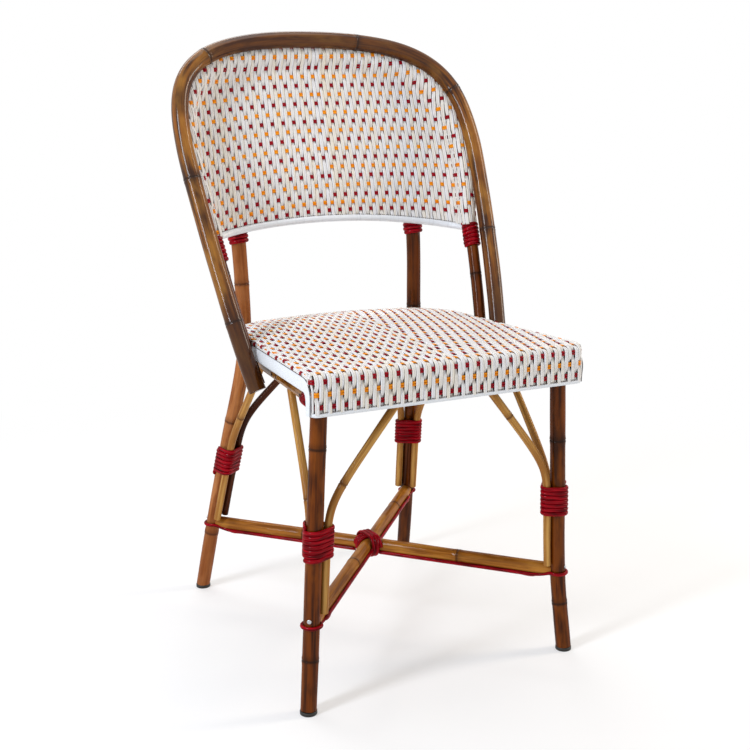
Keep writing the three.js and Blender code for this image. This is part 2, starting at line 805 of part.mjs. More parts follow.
// The flat sheet from its four edges: the bottom, both sides up to the shoulders, and the crown between them
const panelFootHalf = interpolate(panelArch, "y", "x", panelFoot);
const panelUpper = panelArch.slice(panelArch.findIndex((p) => p.y > panelFoot));
const panelShoulder = Math.round(panelUpper.length * (1 - panelCornerShare));

function alongPoints(points, at) {
  const i = Math.min(Math.floor(at), points.length - 2);
  return points[i].clone().lerp(points[i + 1], at - i);
}

const panelSidePoints = [new THREE.Vector2(panelFootHalf, panelFoot), ...panelUpper.slice(1, panelShoulder + 1)];
const panelCrownPoints = panelUpper.slice(panelShoulder).reverse();

function panelSide(side, v) {
  const point = alongPoints(panelSidePoints, v * (panelSidePoints.length - 1));
  return new THREE.Vector2(side * point.x, point.y);
}

function panelCrown(u) {
  const point = alongPoints(panelCrownPoints, Math.abs(u) * (panelCrownPoints.length - 1));
  return new THREE.Vector2(Math.sign(u) * point.x, point.y);
}

const panelBottom = (u) => new THREE.Vector2(u * panelFootHalf, panelFoot + panelRailRise * (1 - u * u));

function panelPatch(u, v) {
  const share = (u + 1) / 2;
  const up = panelBottom(u).lerp(panelCrown(u), v);
  const across = panelSide(-1, v).lerp(panelSide(1, v), share);
  const bottomCorners = panelBottom(-1).lerp(panelBottom(1), share);
  const crownCorners = panelCrown(-1).lerp(panelCrown(1), share);
  return up.add(across).sub(bottomCorners.lerp(crownCorners, v));
}

function panelGeometry() {
  const across = panelAcross;
  const up = panelUp;
  const row = across + 1;
  const middle = [];
  for (let j = 0; j <= up; j += 1) {
    for (let i = 0; i <= across; i += 1) {
      const flat = panelPatch(panelShare((2 * i) / across - 1), j / up);
      middle.push(onPanel(flat.x, flat.y));
    }
  }
  const at = (i, j) => middle[THREE.MathUtils.clamp(j, 0, up) * row + THREE.MathUtils.clamp(i, 0, across)];
  const vertices = [];
  for (const face of [1, -1]) {
    for (let j = 0; j <= up; j += 1) {
      for (let i = 0; i <= across; i += 1) {
        const rightwards = at(i + 1, j).clone().sub(at(i - 1, j));
        const upwards = at(i, j + 1).clone().sub(at(i, j - 1));
        const normal = rightwards.cross(upwards).normalize();
        const point = at(i, j).clone().addScaledVector(normal, (face * panelThickness) / 2);
        vertices.push(point.x, point.y, point.z);
      }
    }
  }
  const back = row * (up + 1);
  const index = [];
  const quad = (a, b, c, d) => index.push(a, b, c, a, c, d);
  for (let j = 0; j < up; j += 1) {
    for (let i = 0; i < across; i += 1) {
      const a = j * row + i;
      quad(a, a + 1, a + 1 + row, a + row);
      quad(back + a, back + a + row, back + a + 1 + row, back + a + 1);
    }
    const left = j * row;
    quad(left, left + row, back + left + row, back + left);
    const right = left + across;
    quad(right, back + right, back + right + row, right + row);
  }
  for (let i = 0; i < across; i += 1) {
    quad(i, back + i, back + i + 1, i + 1);
    const high = up * row + i;
    quad(high, high + 1, back + high + 1, back + high);
  }
  return indexed(vertices, index);
}

const panelRailTool = tube(panelRail.getSpacedPoints(panelRailToolSteps), panelRailRadius + clearance, panelRailSides);
addPiece("back_panel", cut(panelGeometry(), panelPoleTool, panelRailTool), "weave");

// Windings

const gaps = {};

// The least gap that a strand keeps to its own other turns
function measureGap(name, points, radius, perTurn) {
  let least = Infinity;
  for (let i = 0; i < points.length; i += 1) {
    for (let j = i + Math.ceil(perTurn / 2); j < points.length; j += 1) {
      least = Math.min(least, points[i].distanceTo(points[j]) - 2 * radius);
    }
  }
  gaps[name] = least;
}

// Adds a straight end of one diameter before the first and after the last point.
function withStraightEnds(points, radius) {
  const first = points[0].clone().sub(points[1]).setLength(2 * radius).add(points[0]);
  const last = points[points.length - 1];
  const end = last.clone().sub(points[points.length - 2]).setLength(2 * radius).add(last);
  return [first, ...points, end];
}

// A strand wound round a bundle of poles. circlesAt gives the bundle's circles at a distance along it:
// their centres, radii and the two directions square to the bundle.
function winding(name, circlesAt, turns) {
  const steps = Math.round(turns * turnSteps);
  const points = [];
  for (let i = 0; i <= steps; i += 1) {
    const angle = (2 * Math.PI * i) / turnSteps;
    const along = (strandPitch * i) / turnSteps;
    const { circles, first, second } = circlesAt(along);
    const outward = first.clone().multiplyScalar(Math.cos(angle)).addScaledVector(second, Math.sin(angle));
    const support = circles.reduce((best, circle) => {
      const reach = circle.centre.dot(outward) + circle.radius;
      return best === null || reach > best.reach ? { reach, circle } : best;
    }, null);
    const lift = support.circle.radius + strandRadius + windingGap;
    points.push(support.circle.centre.clone().addScaledVector(outward, lift));
  }
  measureGap(name, points, strandRadius, turnSteps);
  addPiece(name, tube(withStraightEnds(points, strandRadius), strandRadius, strandSides), "strand");
}

const flatX = new THREE.Vector3(1, 0, 0);
const flatY = new THREE.Vector3(0, 1, 0);
for (const frame of braceFrames) {
  winding(
    `leg_wrap_${frame.corner}`,
    (along) => {
      const z = legWrapFoot + along;
      return {
        circles: [
          { centre: atHeight(frame.leg, z), radius: legRadius },
          { centre: bracePoint(frame.leg, frame.inward, frame.crossBend, z), radius: braceRadius },
          { centre: bracePoint(frame.leg, frame.lengthways, frame.sideBend, z), radius: braceRadius },
        ],
        first: flatX,
        second: flatY,
      };
    },
    legWrapTurns,
  );
}

// A winding round one pole, from a share of its length
function poleWinding(name, curve, radius, fromShare, turns, backwards = false) {
  const length = curve.getLength();
  winding(
    name,
    (along) => {
      const share = fromShare + ((backwards ? -1 : 1) * along) / length;
      const tangent = curve.getTangentAt(share);
      const first = new THREE.Vector3(0, 0, 1).cross(tangent).normalize();
      if (first.lengthSq() < Number.EPSILON) {
        first.copy(flatX);
      }
      const second = tangent.clone().cross(first);
      return { circles: [{ centre: curve.getPointAt(share), radius }], first, second };
    },
    turns,
  );
}

for (const name of Object.keys(sides)) {
  const rail = sideRails[name];
  poleWinding(`rail_wrap_${name}`, rail, sideRailRadius, railWrapFrom / rail.getLength(), railWrapTurns);
}

// The share of a rising curve's length at a height
function shareAtHeight(curve, z, low = 0, high = 1) {
  let from = low;
  let to = high;
  for (let i = 0; i < halvings; i += 1) {
    const middle = (from + to) / 2;
    if (curve.getPointAt(middle).z < z === low < high) {
      from = middle;
    } else {
      to = middle;
    }
  }
  return (from + to) / 2;
}

const wrapBelowRail = panelRailRadius + strandRadius + windingGap;
const panelRailEndZ = panelRail.getPointAt(0).z;
for (const name of Object.keys(sides)) {
  const post = rearLegs[name];
  const postFrom = shareAtHeight(post, postWrapTop - postWrapTurns * strandPitch);
  poleWinding(`post_wrap_${name}`, post, legRadius, postFrom, postWrapTurns);
}
const panelWrapTop = panelRailEndZ - wrapBelowRail;
const leftWrapShare = shareAtHeight(panelPoleCurve, panelWrapTop, 0, 0.5);
poleWinding("panel_wrap_left", panelPoleCurve, panelPoleRadius, leftWrapShare, panelWrapTurns, true);
poleWinding("panel_wrap_right", panelPoleCurve, panelPoleRadius, 1 - leftWrapShare, panelWrapTurns);

// Ties: a strand runs under each arm to the leg, round it and back.
function tie(name, leg, end) {
  const arm = end.clone().sub(crossing).setZ(0);
  const length = arm.length();
  arm.normalize();
  const across = new THREE.Vector3(-arm.y, arm.x, 0);
  const runZ = stretcherZ - stretcherRadius - nodeSwell - tieRadius - clearance;
  const spread = tieRadius + clearance;
  const loop = legRadius + nodeSwell + tieRadius + clearance + windingGap;
  const place = (along, sideways, z) =>
    crossing.clone().setZ(z).addScaledVector(arm, along).addScaledVector(across, sideways);
  const footShift = atHeight(leg, runZ).sub(end).setZ(0).dot(arm);
  const run = [
    [tieStart, -spread],
    ...tieRunShares.map((share) => [length * share, -spread]),
    [length - tieRunEnd, -spread],
  ];
  const points = run.map(([along, sideways]) => place(along, sideways, runZ));
  for (let i = 0; i <= tieLoopSteps; i += 1) {
    const angle = tieSwing * ((2 * i) / tieLoopSteps - 1);
    const rise = tieRise * (0.5 + 0.5 * Math.cos(angle));
    points.push(place(length + footShift + loop * Math.cos(angle), loop * Math.sin(angle), runZ + rise));
  }
  points.push(...run.reverse().map(([along, sideways]) => place(along, -sideways, runZ)));
  measureGap(name, points, tieRadius, 2 * tieLoopSteps);
  addPiece(name, tube(withStraightEnds(points, tieRadius), tieRadius, strandSides), "strand");
}

tie("stretcher_tie_front_left", frontLegs.left, stretcherEnds.over[0]);
tie("stretcher_tie_rear_right", rearLegs.right, stretcherEnds.over[1]);
tie("stretcher_tie_rear_left", rearLegs.left, stretcherEnds.under[0]);
tie("stretcher_tie_front_right", frontLegs.right, stretcherEnds.under[1]);

// Lashings: the lower one runs over the crossing from side to side, the upper one from front to back.
const armDirection = stretcherEnds.over[1].clone().sub(crossing).setZ(0).normalize();

function lashing(name, level, place) {
  const points = [];
  const steps = lashTurns * lashSteps;
  const slant = level === 0 ? Math.abs(armDirection.y) : Math.abs(armDirection.x);
  const open = level === 0 ? Math.abs(armDirection.x) : Math.abs(armDirection.y);
  const lane = stretcherRadius + nodeSwell + lashRadius + clearance;
  const layer = level * (2 * lashRadius + windingGap);
  for (let i = 0; i <= steps; i += 1) {
    const angle = Math.PI + (2 * Math.PI * i) / lashSteps;
    const offset = lashPitch * (i / lashSteps - lashTurns / 2);
    const reach = (lane + Math.abs(offset) * open) / slant + lashRadius + layer;
    const rise = (lane + layer) * Math.cos(angle) * (1 + lashBulge * Math.sin(angle) ** 2);
    points.push(place(reach * Math.sin(angle), offset, rise).add(crossing));
  }
  measureGap(name, points, lashRadius, lashSteps);
  addPiece(name, tube(withStraightEnds(points, lashRadius), lashRadius, strandSides), "strand");
}

lashing("centre_lashing_lower", 0, (along, offset, rise) => new THREE.Vector3(along, offset, rise));
lashing("centre_lashing_upper", 1, (along, offset, rise) => new THREE.Vector3(offset, along, rise));

console.log(
  "least gaps of the windings to themselves:",
  Object.entries(gaps).map(([name, gap]) => `${name} ${gap.toFixed(2)}`).join(", "),
);

// The origin is under the middle of the chair.
chair.updateMatrixWorld(true);
const bounds = new THREE.Box3().setFromObject(chair);
chair.position.y = -(bounds.min.y + bounds.max.y) / 2;

export default chair;
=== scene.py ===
import math

import bpy
import numpy as np
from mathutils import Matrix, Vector


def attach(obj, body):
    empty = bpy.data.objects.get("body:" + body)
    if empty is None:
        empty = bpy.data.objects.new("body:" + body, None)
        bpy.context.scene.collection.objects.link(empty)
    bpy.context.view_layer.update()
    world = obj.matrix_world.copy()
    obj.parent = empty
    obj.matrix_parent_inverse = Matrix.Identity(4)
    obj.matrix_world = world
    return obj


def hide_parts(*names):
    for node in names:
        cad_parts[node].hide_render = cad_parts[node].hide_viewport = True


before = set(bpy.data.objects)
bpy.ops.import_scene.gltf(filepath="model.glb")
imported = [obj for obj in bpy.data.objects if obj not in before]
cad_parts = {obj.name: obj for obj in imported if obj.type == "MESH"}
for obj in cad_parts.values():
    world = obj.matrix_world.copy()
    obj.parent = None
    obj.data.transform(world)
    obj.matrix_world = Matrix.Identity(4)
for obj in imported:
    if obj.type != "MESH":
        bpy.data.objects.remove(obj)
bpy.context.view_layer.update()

# Front legs: two nearly straight brown rattan poles, varnished, with a faint ring at each node.
# They stand on the glides and run up to the underside of the seat, cut level at both ends.
# Lengths are in millimetres; each piece is moved back a little, onto the middle of the frame.
metre = 0.001
middle_shift = 4.15
seeds = np.random.default_rng(7)


def ease(value, low, high):
    """Goes smoothly from nothing at low to one at high."""
    share = np.clip((value - low) / (high - low), 0, 1)
    return share * share * (3 - 2 * share)


def unit(rows):
    """Rows of vectors brought to length one."""
    rows = np.asarray(rows, float)
    return rows / np.maximum(np.linalg.norm(rows, axis=-1, keepdims=True), 1e-9)


def lengths(path):
    """Distance along a path at each of its points."""
    return np.concatenate([[0], np.cumsum(np.linalg.norm(np.diff(path, axis=0), axis=1))])


def read_off(places, marks, table):
    """Rows of a table at some places between its marks."""
    return np.stack([np.interp(places, marks, column) for column in table.T], -1)


def at(path, places):
    """Points of a path at the given distances along it."""
    return read_off(places, lengths(path), path)


def even(path, step):
    """The same path with its points a step apart."""
    total = lengths(path)[-1]
    return at(path, np.linspace(0, total, max(2, int(round(total / step)) + 1)))


def curve_through(points):
    """A centripetal spline through the points, continued straight at its ends."""
    points = np.array(points, float)
    points = np.vstack([2 * points[0] - points[1], points, 2 * points[-1] - points[-2]])
    pieces = []
    for k in range(1, len(points) - 2):
        a, b, c, d = points[k - 1:k + 3]
        gaps = np.linalg.norm(np.diff([a, b, c, d], axis=0), axis=1) ** 0.5
        t0, t1, t2, t3 = np.concatenate([[0], np.cumsum(gaps)])
        t = np.linspace(t1, t2, 30, endpoint=False)[:, None]
        ab = (t1 - t) / (t1 - t0) * a + (t - t0) / (t1 - t0) * b
        bc = (t2 - t) / (t2 - t1) * b + (t - t1) / (t2 - t1) * c
        cd = (t3 - t) / (t3 - t2) * c + (t - t2) / (t3 - t2) * d
        first = (t2 - t) / (t2 - t0) * ab + (t - t0) / (t2 - t0) * bc
        second = (t3 - t) / (t3 - t1) * bc + (t - t1) / (t3 - t1) * cd
        pieces.append((t2 - t) / (t2 - t1) * first + (t - t1) / (t2 - t1) * second)
    return np.vstack(pieces + [points[-2:-1]])


def carry(path):
    """A direction square to the path that turns as little as it can along it."""
    tangent = unit(np.gradient(path, axis=0))
    start = np.cross(tangent[0], (0, 0, 1.0))
    if np.linalg.norm(start) < 0.1:
        start = np.cross(tangent[0], (0, 1.0, 0))
    facing = [unit(start)]
    for t in tangent[1:]:
        kept = facing[-1] - np.dot(facing[-1], t) * t
        facing.append(kept / np.linalg.norm(kept))
    return np.array(facing)


def sweep(path, wide, thick, facing=None, sides=24, ring=0.0, tone=0.0):
    """An oval section carried along a path and closed at both ends."""
    count = len(path)
    wide, thick, ring, tone = (np.broadcast_to(value, count) for value in (wide, thick, ring, tone))
    tangent = unit(np.gradient(path, axis=0))
    facing = carry(path) if facing is None else np.broadcast_to(facing, path.shape)
    facing = unit(facing - (facing * tangent).sum(-1, keepdims=True) * tangent)
    side = np.cross(tangent, facing)
    turn = np.arange(sides) / sides * math.tau
    across = wide[:, None] * np.cos(turn)
    above = thick[:, None] * np.sin(turn)
    rings = path[:, None] + across[..., None] * side[:, None] + above[..., None] * facing[:, None]
    grain = np.stack(np.broadcast_arrays(lengths(path)[:, None], across, above), -1)
    verts = np.vstack([rings.reshape(-1, 3), path[:1], path[-1:]])
    grain = np.vstack([grain.reshape(-1, 3), [[0, 0, 0]], [[lengths(path)[-1], 0, 0]]])
    index = np.arange(count * sides).reshape(count, sides)
    ahead = np.roll(index, -1, axis=1)
    quads = np.stack([index[:-1], index[1:], ahead[1:], ahead[:-1]], -1).reshape(-1, 4)
    low = np.stack([np.full(sides, count * sides), index[0], ahead[0]], -1)
    high = np.stack([np.full(sides, count * sides + 1), ahead[-1], index[-1]], -1)
    values = np.stack([np.repeat(ring, sides), np.repeat(tone, sides)], -1)
    values = np.vstack([values, [[ring[0], tone[0]]], [[ring[-1], tone[-1]]]])
    return verts, quads.tolist() + low.tolist() + high.tolist(), grain, values


def piece(name, parts, material, nodes=None, crease=None):
    """Joins swept parts into one object that stands for the named nodes, or for the node of its name."""
    nodes = [name] if nodes is None else nodes
    faces = []
    start = 0
    for verts, part_faces, grain, values in parts:
        faces.extend([[start + corner for corner in face] for face in part_faces])
        start += len(verts)
    verts = np.vstack([part[0] for part in parts]) + (0, middle_shift, 0)
    name = name + "_piece" if name in nodes else name
    mesh = bpy.data.meshes.new(name)
    mesh.from_pydata((verts * metre).tolist(), [], faces)
    grain = mesh.attributes.new("grain", "FLOAT_VECTOR", "POINT")
    grain.data.foreach_set("vector", (np.vstack([part[2] for part in parts]) * metre).ravel())
    values = np.vstack([part[3] for part in parts])
    for column, label in enumerate(("ring", "tone")):
        values_set = mesh.attributes.new(label, "FLOAT", "POINT")
        values_set.data.foreach_set("value", values[:, column].copy())
    mesh.polygons.foreach_set("use_smooth", [True] * len(faces))
    if crease:
        mesh.set_sharp_from_angle(angle=math.radians(crease))
    mesh.update()
    made = bpy.data.objects.new(name, mesh)
    bpy.context.scene.collection.objects.link(made)
    mesh.materials.append(material)
    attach(made, "root")
    if nodes:
        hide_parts(*nodes)


def pole(path, radius, nodes=(), swell=0.7, sides=32, dark_stretches=()):
    """A rattan pole: a little uneven, swollen and grooved at each node, and darker in the given stretches.
    """
    total = lengths(path)[-1]
    stations = [np.arange(0, total, 4.0)]
    for share in nodes:
        stations.append(share * total + np.arange(-10, 10.1, 0.8))
    places = np.unique(np.clip(np.concatenate(stations + [[total]]), 0, total).round(3))
    along = at(path, places)
    phase = seeds.uniform(0, math.tau, 3)
    waves = [np.sin(places / length + start) for length, start in zip((31, 73, 17), phase)]
    size = radius + 0.09 * sum(waves)
    ring = np.zeros(len(places))
    for share in nodes:
        off = places - share * total
        size = size + swell * np.exp(-(off / 4.2) ** 2) - 0.75 * np.exp(-(off / 0.9) ** 2)
        ring = np.maximum(ring, np.exp(-(off / 1.7) ** 2) + 0.45 * np.exp(-((off - 3) / 5) ** 2))
    tone = np.full(len(places), seeds.uniform())
    reach = places / total
    fade = 0.03
    for low, high, amount in dark_stretches:
        within = ease(reach, low - fade, low + fade) * (1 - ease(reach, high - fade, high + fade))
        tone = tone + amount * within
    return sweep(along, size, size, None, sides, np.clip(ring, 0, 1), tone)


def colour(code):
    """A colour written as sRGB hex, turned linear."""
    parts = [int(code[k:k + 2], 16) / 255 for k in (1, 3, 5)]
    parts = [p / 12.92 if p <= 0.04045 else ((p + 0.055) / 1.055) ** 2.4 for p in parts]
    return (*parts, 1.0)


def add(tree, kind, inputs=None, **settings):
    """Adds a shader node with its settings; an input is a value or another node's output."""
    node = tree.nodes.new("ShaderNode" + kind)
    for key, value in settings.items():
        setattr(node, key, value)
    for key, value in (inputs or {}).items():
        if isinstance(value, bpy.types.NodeSocket):
            tree.links.new(value, node.inputs[key])
        else:
            node.inputs[key].default_value = value
    return node


def blend(tree, share, first, second):
    """Mixes two colours; the share is a value or an output."""
    return add(tree, "Mix", {0: share, 6: first, 7: second}, data_type="RGBA").outputs[2]


def spread(tree, value, low, high):
    """Stretches a value so that low becomes nothing and high becomes one."""
    inputs = {"Value": value, "From Min": low, "From Max": high}
    return add(tree, "MapRange", inputs, interpolation_type="SMOOTHSTEP").outputs["Result"]


def read(tree, label, output="Fac"):
    """Reads one of the mesh's own attributes."""
    return add(tree, "Attribute", attribute_name=label).outputs[output]


def pattern(tree, vector, scale, detail=3.0):
    """Noise over a vector, with a separate scale along each axis."""
    placed = add(tree, "Mapping", {"Vector": vector, "Scale": scale}).outputs["Vector"]
    return add(tree, "TexNoise", {"Vector": placed, "Scale": 1.0, "Detail": detail}).outputs["Fac"]


def begin(name):
    """A new material with an empty tree."""
    material = bpy.data.materials.new(name)
    material.use_nodes = True
    material.node_tree.nodes.clear()
    return material, material.node_tree


def surface(tree, base, roughness, bump=None, depth=0.0, strength=1.0, **sockets):
    """Ends a tree in one surface shader."""
    inputs = {"Base Color": base, "Roughness": roughness}
    inputs.update({key.replace("_", " "): value for key, value in sockets.items()})
    if bump is not None:
        height = {"Height": bump, "Distance": depth, "Strength": strength}
        inputs["Normal"] = add(tree, "Bump", height).outputs["Normal"]
    shader = add(tree, "BsdfPrincipled", inputs)
    add(tree, "OutputMaterial", {"Surface": shader.outputs["BSDF"]})


def times(tree, value, factor):
    """A shader value multiplied by a number."""
    return add(tree, "Math", {0: value, 1: factor}, operation="MULTIPLY").outputs[0]


def shifted(tree, vector, way):
    """A shader vector moved along, so that a pattern starts from another place."""
    return add(tree, "VectorMath", {0: vector, 1: way}, operation="ADD").outputs["Vector"]


def rattan(name, light, deep, copper, mark, gloss=0.2):
    """Varnished rattan: long fibre streaks, patches of stain and dark node rings under clear gloss."""
    material, tree = begin(name)
    grain = read(tree, "grain", "Vector")
    broad = spread(tree, pattern(tree, grain, (9, 240, 240), 4), 0.36, 0.66)
    patches = pattern(tree, shifted(tree, grain, (3.0, 1.0, 2.0)), (18, 60, 60), 3)
    scorch = pattern(tree, shifted(tree, grain, (1.0, 4.0, 1.5)), (14, 34, 34), 5)
    fine = pattern(tree, grain, (26, 1300, 1300), 5)
    body = blend(tree, broad, colour(deep), colour(light))
    # The tone layer pulls toward the deep colour in darker stretches; on the hoop's ends that is painted
    # shade.
    layers = ((spread(tree, patches, 0.42, 0.7), 0.7, copper), (spread(tree, scorch, 0.56, 0.74), 0.6, mark),
              (spread(tree, fine, 0.5, 0.78), 0.5, mark), (read(tree, "tone"), 0.18, deep),
              (read(tree, "ring"), 0.8, mark))
    for share, amount, code in layers:
        body = blend(tree, times(tree, share, amount), body, colour(code))
    surface(tree, body, 0.5, fine, 0.0003, 0.5, Coat_Weight=gloss, Coat_Roughness=0.035,
            Specular_IOR_Level=0.03)
    return material


# The frame's brown: dark stained rattan under clear varnish, streaked along the fibre.
frame_rattan = rattan("varnished_brown_rattan", "#6e3304", "#381602", "#84440a", "#1a0901")
leg_radius = 11.0
leg_foot = 5.3
leg_top = 431.2


def legs(points, low, high):
    """The part of a pole's curve between two heights."""
    path = curve_through(points)
    path = path[np.argsort(path[:, 2])]
    return read_off(np.linspace(low, high, 140), path[:, 2], path)


front_points = [(205.6, -230.7, 0), (195.5, -222.1, 122.6), (188.3, -222.7, 282.4), (181, -223.2, 442.2)]
front_path = legs(front_points, leg_foot, leg_top)
leg_paths = {}
for word, sign, node_share in (("left", -1, 0.83), ("right", 1, 0.74)):
    leg_paths["front", word] = front_path * (sign, 1, 1)
    part = pole(leg_paths["front", word], leg_radius, [node_share, 0.16])
    piece("front_leg_" + word, [part], frame_rattan, crease=50)

# Back hoop: one long pole steamed and bent from the left side rail over the top to the right one.
# It carries the tan outer skin and is darker across the top arc; at both ends it is darker still, as painted
# shade. Its ends are pinned to the side rails.
lean = math.radians(26.34)
slope_length = 532.6
slope_bow = 7.4
hoop_wide = 237.6
hoop_radius = 12.2
back_foot = np.array((0, -54, 397))
slope_up = np.array((0, math.sin(lean), math.cos(lean)))
slope_front = np.array((0, -math.cos(lean), math.sin(lean)))


def on_back(width, slope, depth):
    """A point of the leaning back: across, up the slope and behind it."""
    share = slope / slope_length
    back = depth - slope_bow * 4 * share * (1 - share)
    y = back_foot[1] + slope * math.sin(lean) + back * math.cos(lean)
    z = back_foot[2] + slope * math.cos(lean) - back * math.sin(lean)
    return np.stack(np.broadcast_arrays(width, y, z), -1).astype(float)


def bezier(corners, steps=160):
    """Points of a flat cubic."""
    a, b, c, d = (np.array(corner, float) for corner in corners)
    t = np.linspace(0, 1, steps)[:, None]
    return (1 - t) ** 3 * a + 3 * (1 - t) ** 2 * t * b + 3 * (1 - t) * t ** 2 * c + t ** 3 * d


widest = (hoop_wide, 357.8)
hoop_half = np.vstack([bezier([(196.8, 0), (216.9, 82.4), (hoop_wide, 308.9), widest]),
                       bezier([widest, (hoop_wide, 469.7), (211.1, slope_length), (0, slope_length)])[1:]])


def both_sides(half_path):
    """Left half, then the right half, as one path from left to right."""
    left = half_path * (-1, 1, 1)
    return np.vstack([left, half_path[::-1][1:]])


hoop_path = even(both_sides(on_back(hoop_half[:, 0], hoop_half[:, 1], 0)), 3)
hoop_nodes = [0.07, 0.22, 0.37, 0.55, 0.68, 0.85]
# Darker stretches of the hoop: both ends are painted shade, and the top arc is only darker.
hoop_dark_stretches = [(-0.1, 0.09, 4.4), (0.91, 1.1, 4.4), (0.37, 0.66, 3.2)]
part = pole(hoop_path, hoop_radius, hoop_nodes, 0.6, 40, hoop_dark_stretches)
# The hoop's skin is honey brown with copper patches, under the glossiest coat of the frame.
hoop_rattan = rattan("varnished_honey_rattan", "#8a5012", "#3a1b07", "#ac7428", "#200c03", 0.5)
piece("back_hoop", [part], hoop_rattan, crease=50)

# Inner arch: a thinner pole nested behind the hoop, which the woven back is stretched over.
# Below the panel it runs down beside the hoop to the side rail.
arch_radius = 8.8
arch_gap = 22
arch_spread = 7
spacing = arch_gap + arch_spread * (1 - ease(hoop_half[:, 1], 225, 320))
spacing_turn = math.radians(33)
half_tangent = unit(np.gradient(hoop_half, axis=0))
inset = spacing * math.sin(spacing_turn)
arch_half = hoop_half + np.stack([-inset * half_tangent[:, 1], inset * half_tangent[:, 0]], -1)
arch_depth = spacing * math.cos(spacing_turn)
kept = (arch_half[:, 1] > 12) & (arch_half[:, 0] >= 0)
arch_half = arch_half[kept]
arch_depth = arch_depth[kept]
arch_path = even(both_sides(on_back(arch_half[:, 0], arch_half[:, 1], arch_depth)), 3)
part = pole(arch_path, arch_radius, [0.12, 0.3, 0.47, 0.68, 0.9], 0.5, 28)
piece("panel_frame", [part], frame_rattan, crease=50)

# Rear legs: splayed at the foot, bent below the seat and carried on upward as the two back posts.
# The post passes behind the panel's bottom rail and is cut square behind the inner arch.
crown_slope = arch_half[:, 1].max()
panel_low = 221
panel_rise = 20
panel_sag = 61
sheet_inset = 5


def arch_at(slope):
    """Half width and depth of the inner arch at a height up the slope."""
    order = np.argsort(arch_half[:, 1])
    width = np.interp(slope, arch_half[order, 1], arch_half[order, 0])
    depth = np.interp(slope, arch_half[order, 1], arch_depth[order])
    return width, depth


def sag_at(width, slope):
    """How far the woven sheet bows back at a place."""
    half, _ = arch_at(slope)
    up = np.clip((slope - panel_low) / (crown_slope - panel_low), 0, 1)
    share = np.clip(np.abs(width) / np.maximum(half - sheet_inset, 1), 0, 1)
    return panel_sag * (1 - up) ** 0.8 * (1 - share ** 3) ** (1 / 3)


def rail_slope(share):
    """Height up the slope of the panel's bottom rail, arched in the middle."""
    return panel_low + panel_rise * (1 - share ** 2)


def panel_point(width, slope):
    """A point of the woven sheet's middle."""
    _, depth = arch_at(slope)
    place = on_back(width, slope, depth)
    place[..., 1] += sag_at(width, slope)
    return place


rail_half = arch_at(panel_low)[0] - sheet_inset
post_half = 149.0
post_behind_rail = 19.2
post_behind_arch = arch_radius + leg_radius + 1.8
post_middle = panel_point(post_half, rail_slope(post_half / rail_half)) + (0, post_behind_rail, 0)
post_slopes = np.linspace(400, crown_slope, 300)
post_slope = np.interp(-post_half, -arch_at(post_slopes)[0], post_slopes)
post_top = on_back(post_half, post_slope, arch_at(post_slope)[1] + post_behind_arch)
rear_points = [(189.5, 230.1, 0), (178.5, 197.8, 122.6), (163.1, 159.75, 266.8), (147.7, 121.7, 411),
               (146.6, 122.6, 461), post_middle, post_top]
rear_path = even(curve_through(rear_points), 3)
rear_path = rear_path[rear_path[:, 2] > leg_foot]
# The left rear leg gets a lighter, redder copy of the frame's varnished rattan: painted light, for the
# bright copper highlight down that leg.
lit_leg_rattan = rattan("varnished_rattan_painted_highlight", "#b4703a", "#82461c", "#c48450", "#4a2410")
for word, sign, shares, look in (("left", -1, [0.12, 0.36, 0.62], lit_leg_rattan),
                                 ("right", 1, [0.15, 0.4, 0.555], frame_rattan)):
    leg_paths["rear", word] = rear_path * (sign, 1, 1)
    part = pole(leg_paths["rear", word], leg_radius, shares, dark_stretches=[(-0.1, 0.16, 2.6), (0.5, 1.1, 2.2)])
    piece("rear_leg_" + word, [part], look, crease=50)

# Glides: four black moulded plastic caps with a small rounded edge.
# Each sits under the cut end of a leg and is all that touches the floor.
glide_radius = 11.6
glide_edge = 1.1


def speckle(tree, size):
    """Fine even noise fixed to the piece."""
    return pattern(tree, add(tree, "TexCoord").outputs["Object"], (size, size, size), 2)


def cap(name, centre, way, radius, height, edge, sides, material):
    """A short turned piece with a rounded edge, set on its middle with its axis along a way."""
    bpy.ops.object.select_all(action="DESELECT")
    bpy.ops.mesh.primitive_cylinder_add(vertices=sides, radius=radius * metre, depth=height * metre)
    made = bpy.context.object
    made.name = name
    bevel = made.modifiers.new("edge", "BEVEL")
    bevel.width = edge * metre
    bevel.segments = 3
    bpy.ops.object.modifier_apply(modifier="edge")
    made.rotation_euler = Vector([float(v) for v in way]).to_track_quat("Z", "Y").to_euler()
    made.location = [float(v) * metre for v in np.asarray(centre) + (0, middle_shift, 0)]
    bpy.ops.object.transform_apply(location=True, rotation=True, scale=True)
    bpy.ops.object.shade_smooth_by_angle(angle=math.radians(38))
    made.data.materials.append(material)
    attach(made, "root")
    return made


# Dull black, with a speck so fine that it only breaks the highlight.
glide_material, tree = begin("black_moulded_plastic")
surface(tree, colour("#16140f"), 0.5, speckle(tree, 900), 0.0001, 0.3)
for (end, word), path in leg_paths.items():
    foot = path[0] * (1, 1, 0) + (0, 0, leg_foot / 2)
    name = f"foot_cap_{end}_{word}"
    glide = cap(name, foot, (0, 0, 1), glide_radius, leg_foot, glide_edge, 48, glide_material)
    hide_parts(f"glide_{end}_{word}")

# Seat rails: four poles between the legs, nailed and bound, which carry the woven seat.
# The side rails are lighter, honey brown, and show their outer face below the seat's band.
cross_rail_z = 423.7
side_rail_z = 416.3
side_rail_radius = 8.5
cross_rail_radius = 7.5
coped = 8


def axis_at(key, height):
    """Point of a leg's axis at a height."""
    low = leg_paths[key][leg_paths[key][:, 2] < 470]
    return read_off(height, low[:, 2], low)


def between(first, last, height):
    """A straight path from leg to leg at a height, its ends coped to the legs."""
    first, last = axis_at(first, height), axis_at(last, height)
    way = unit(last - first) * coped
    return even(np.array([first + way, last - way]), 3)


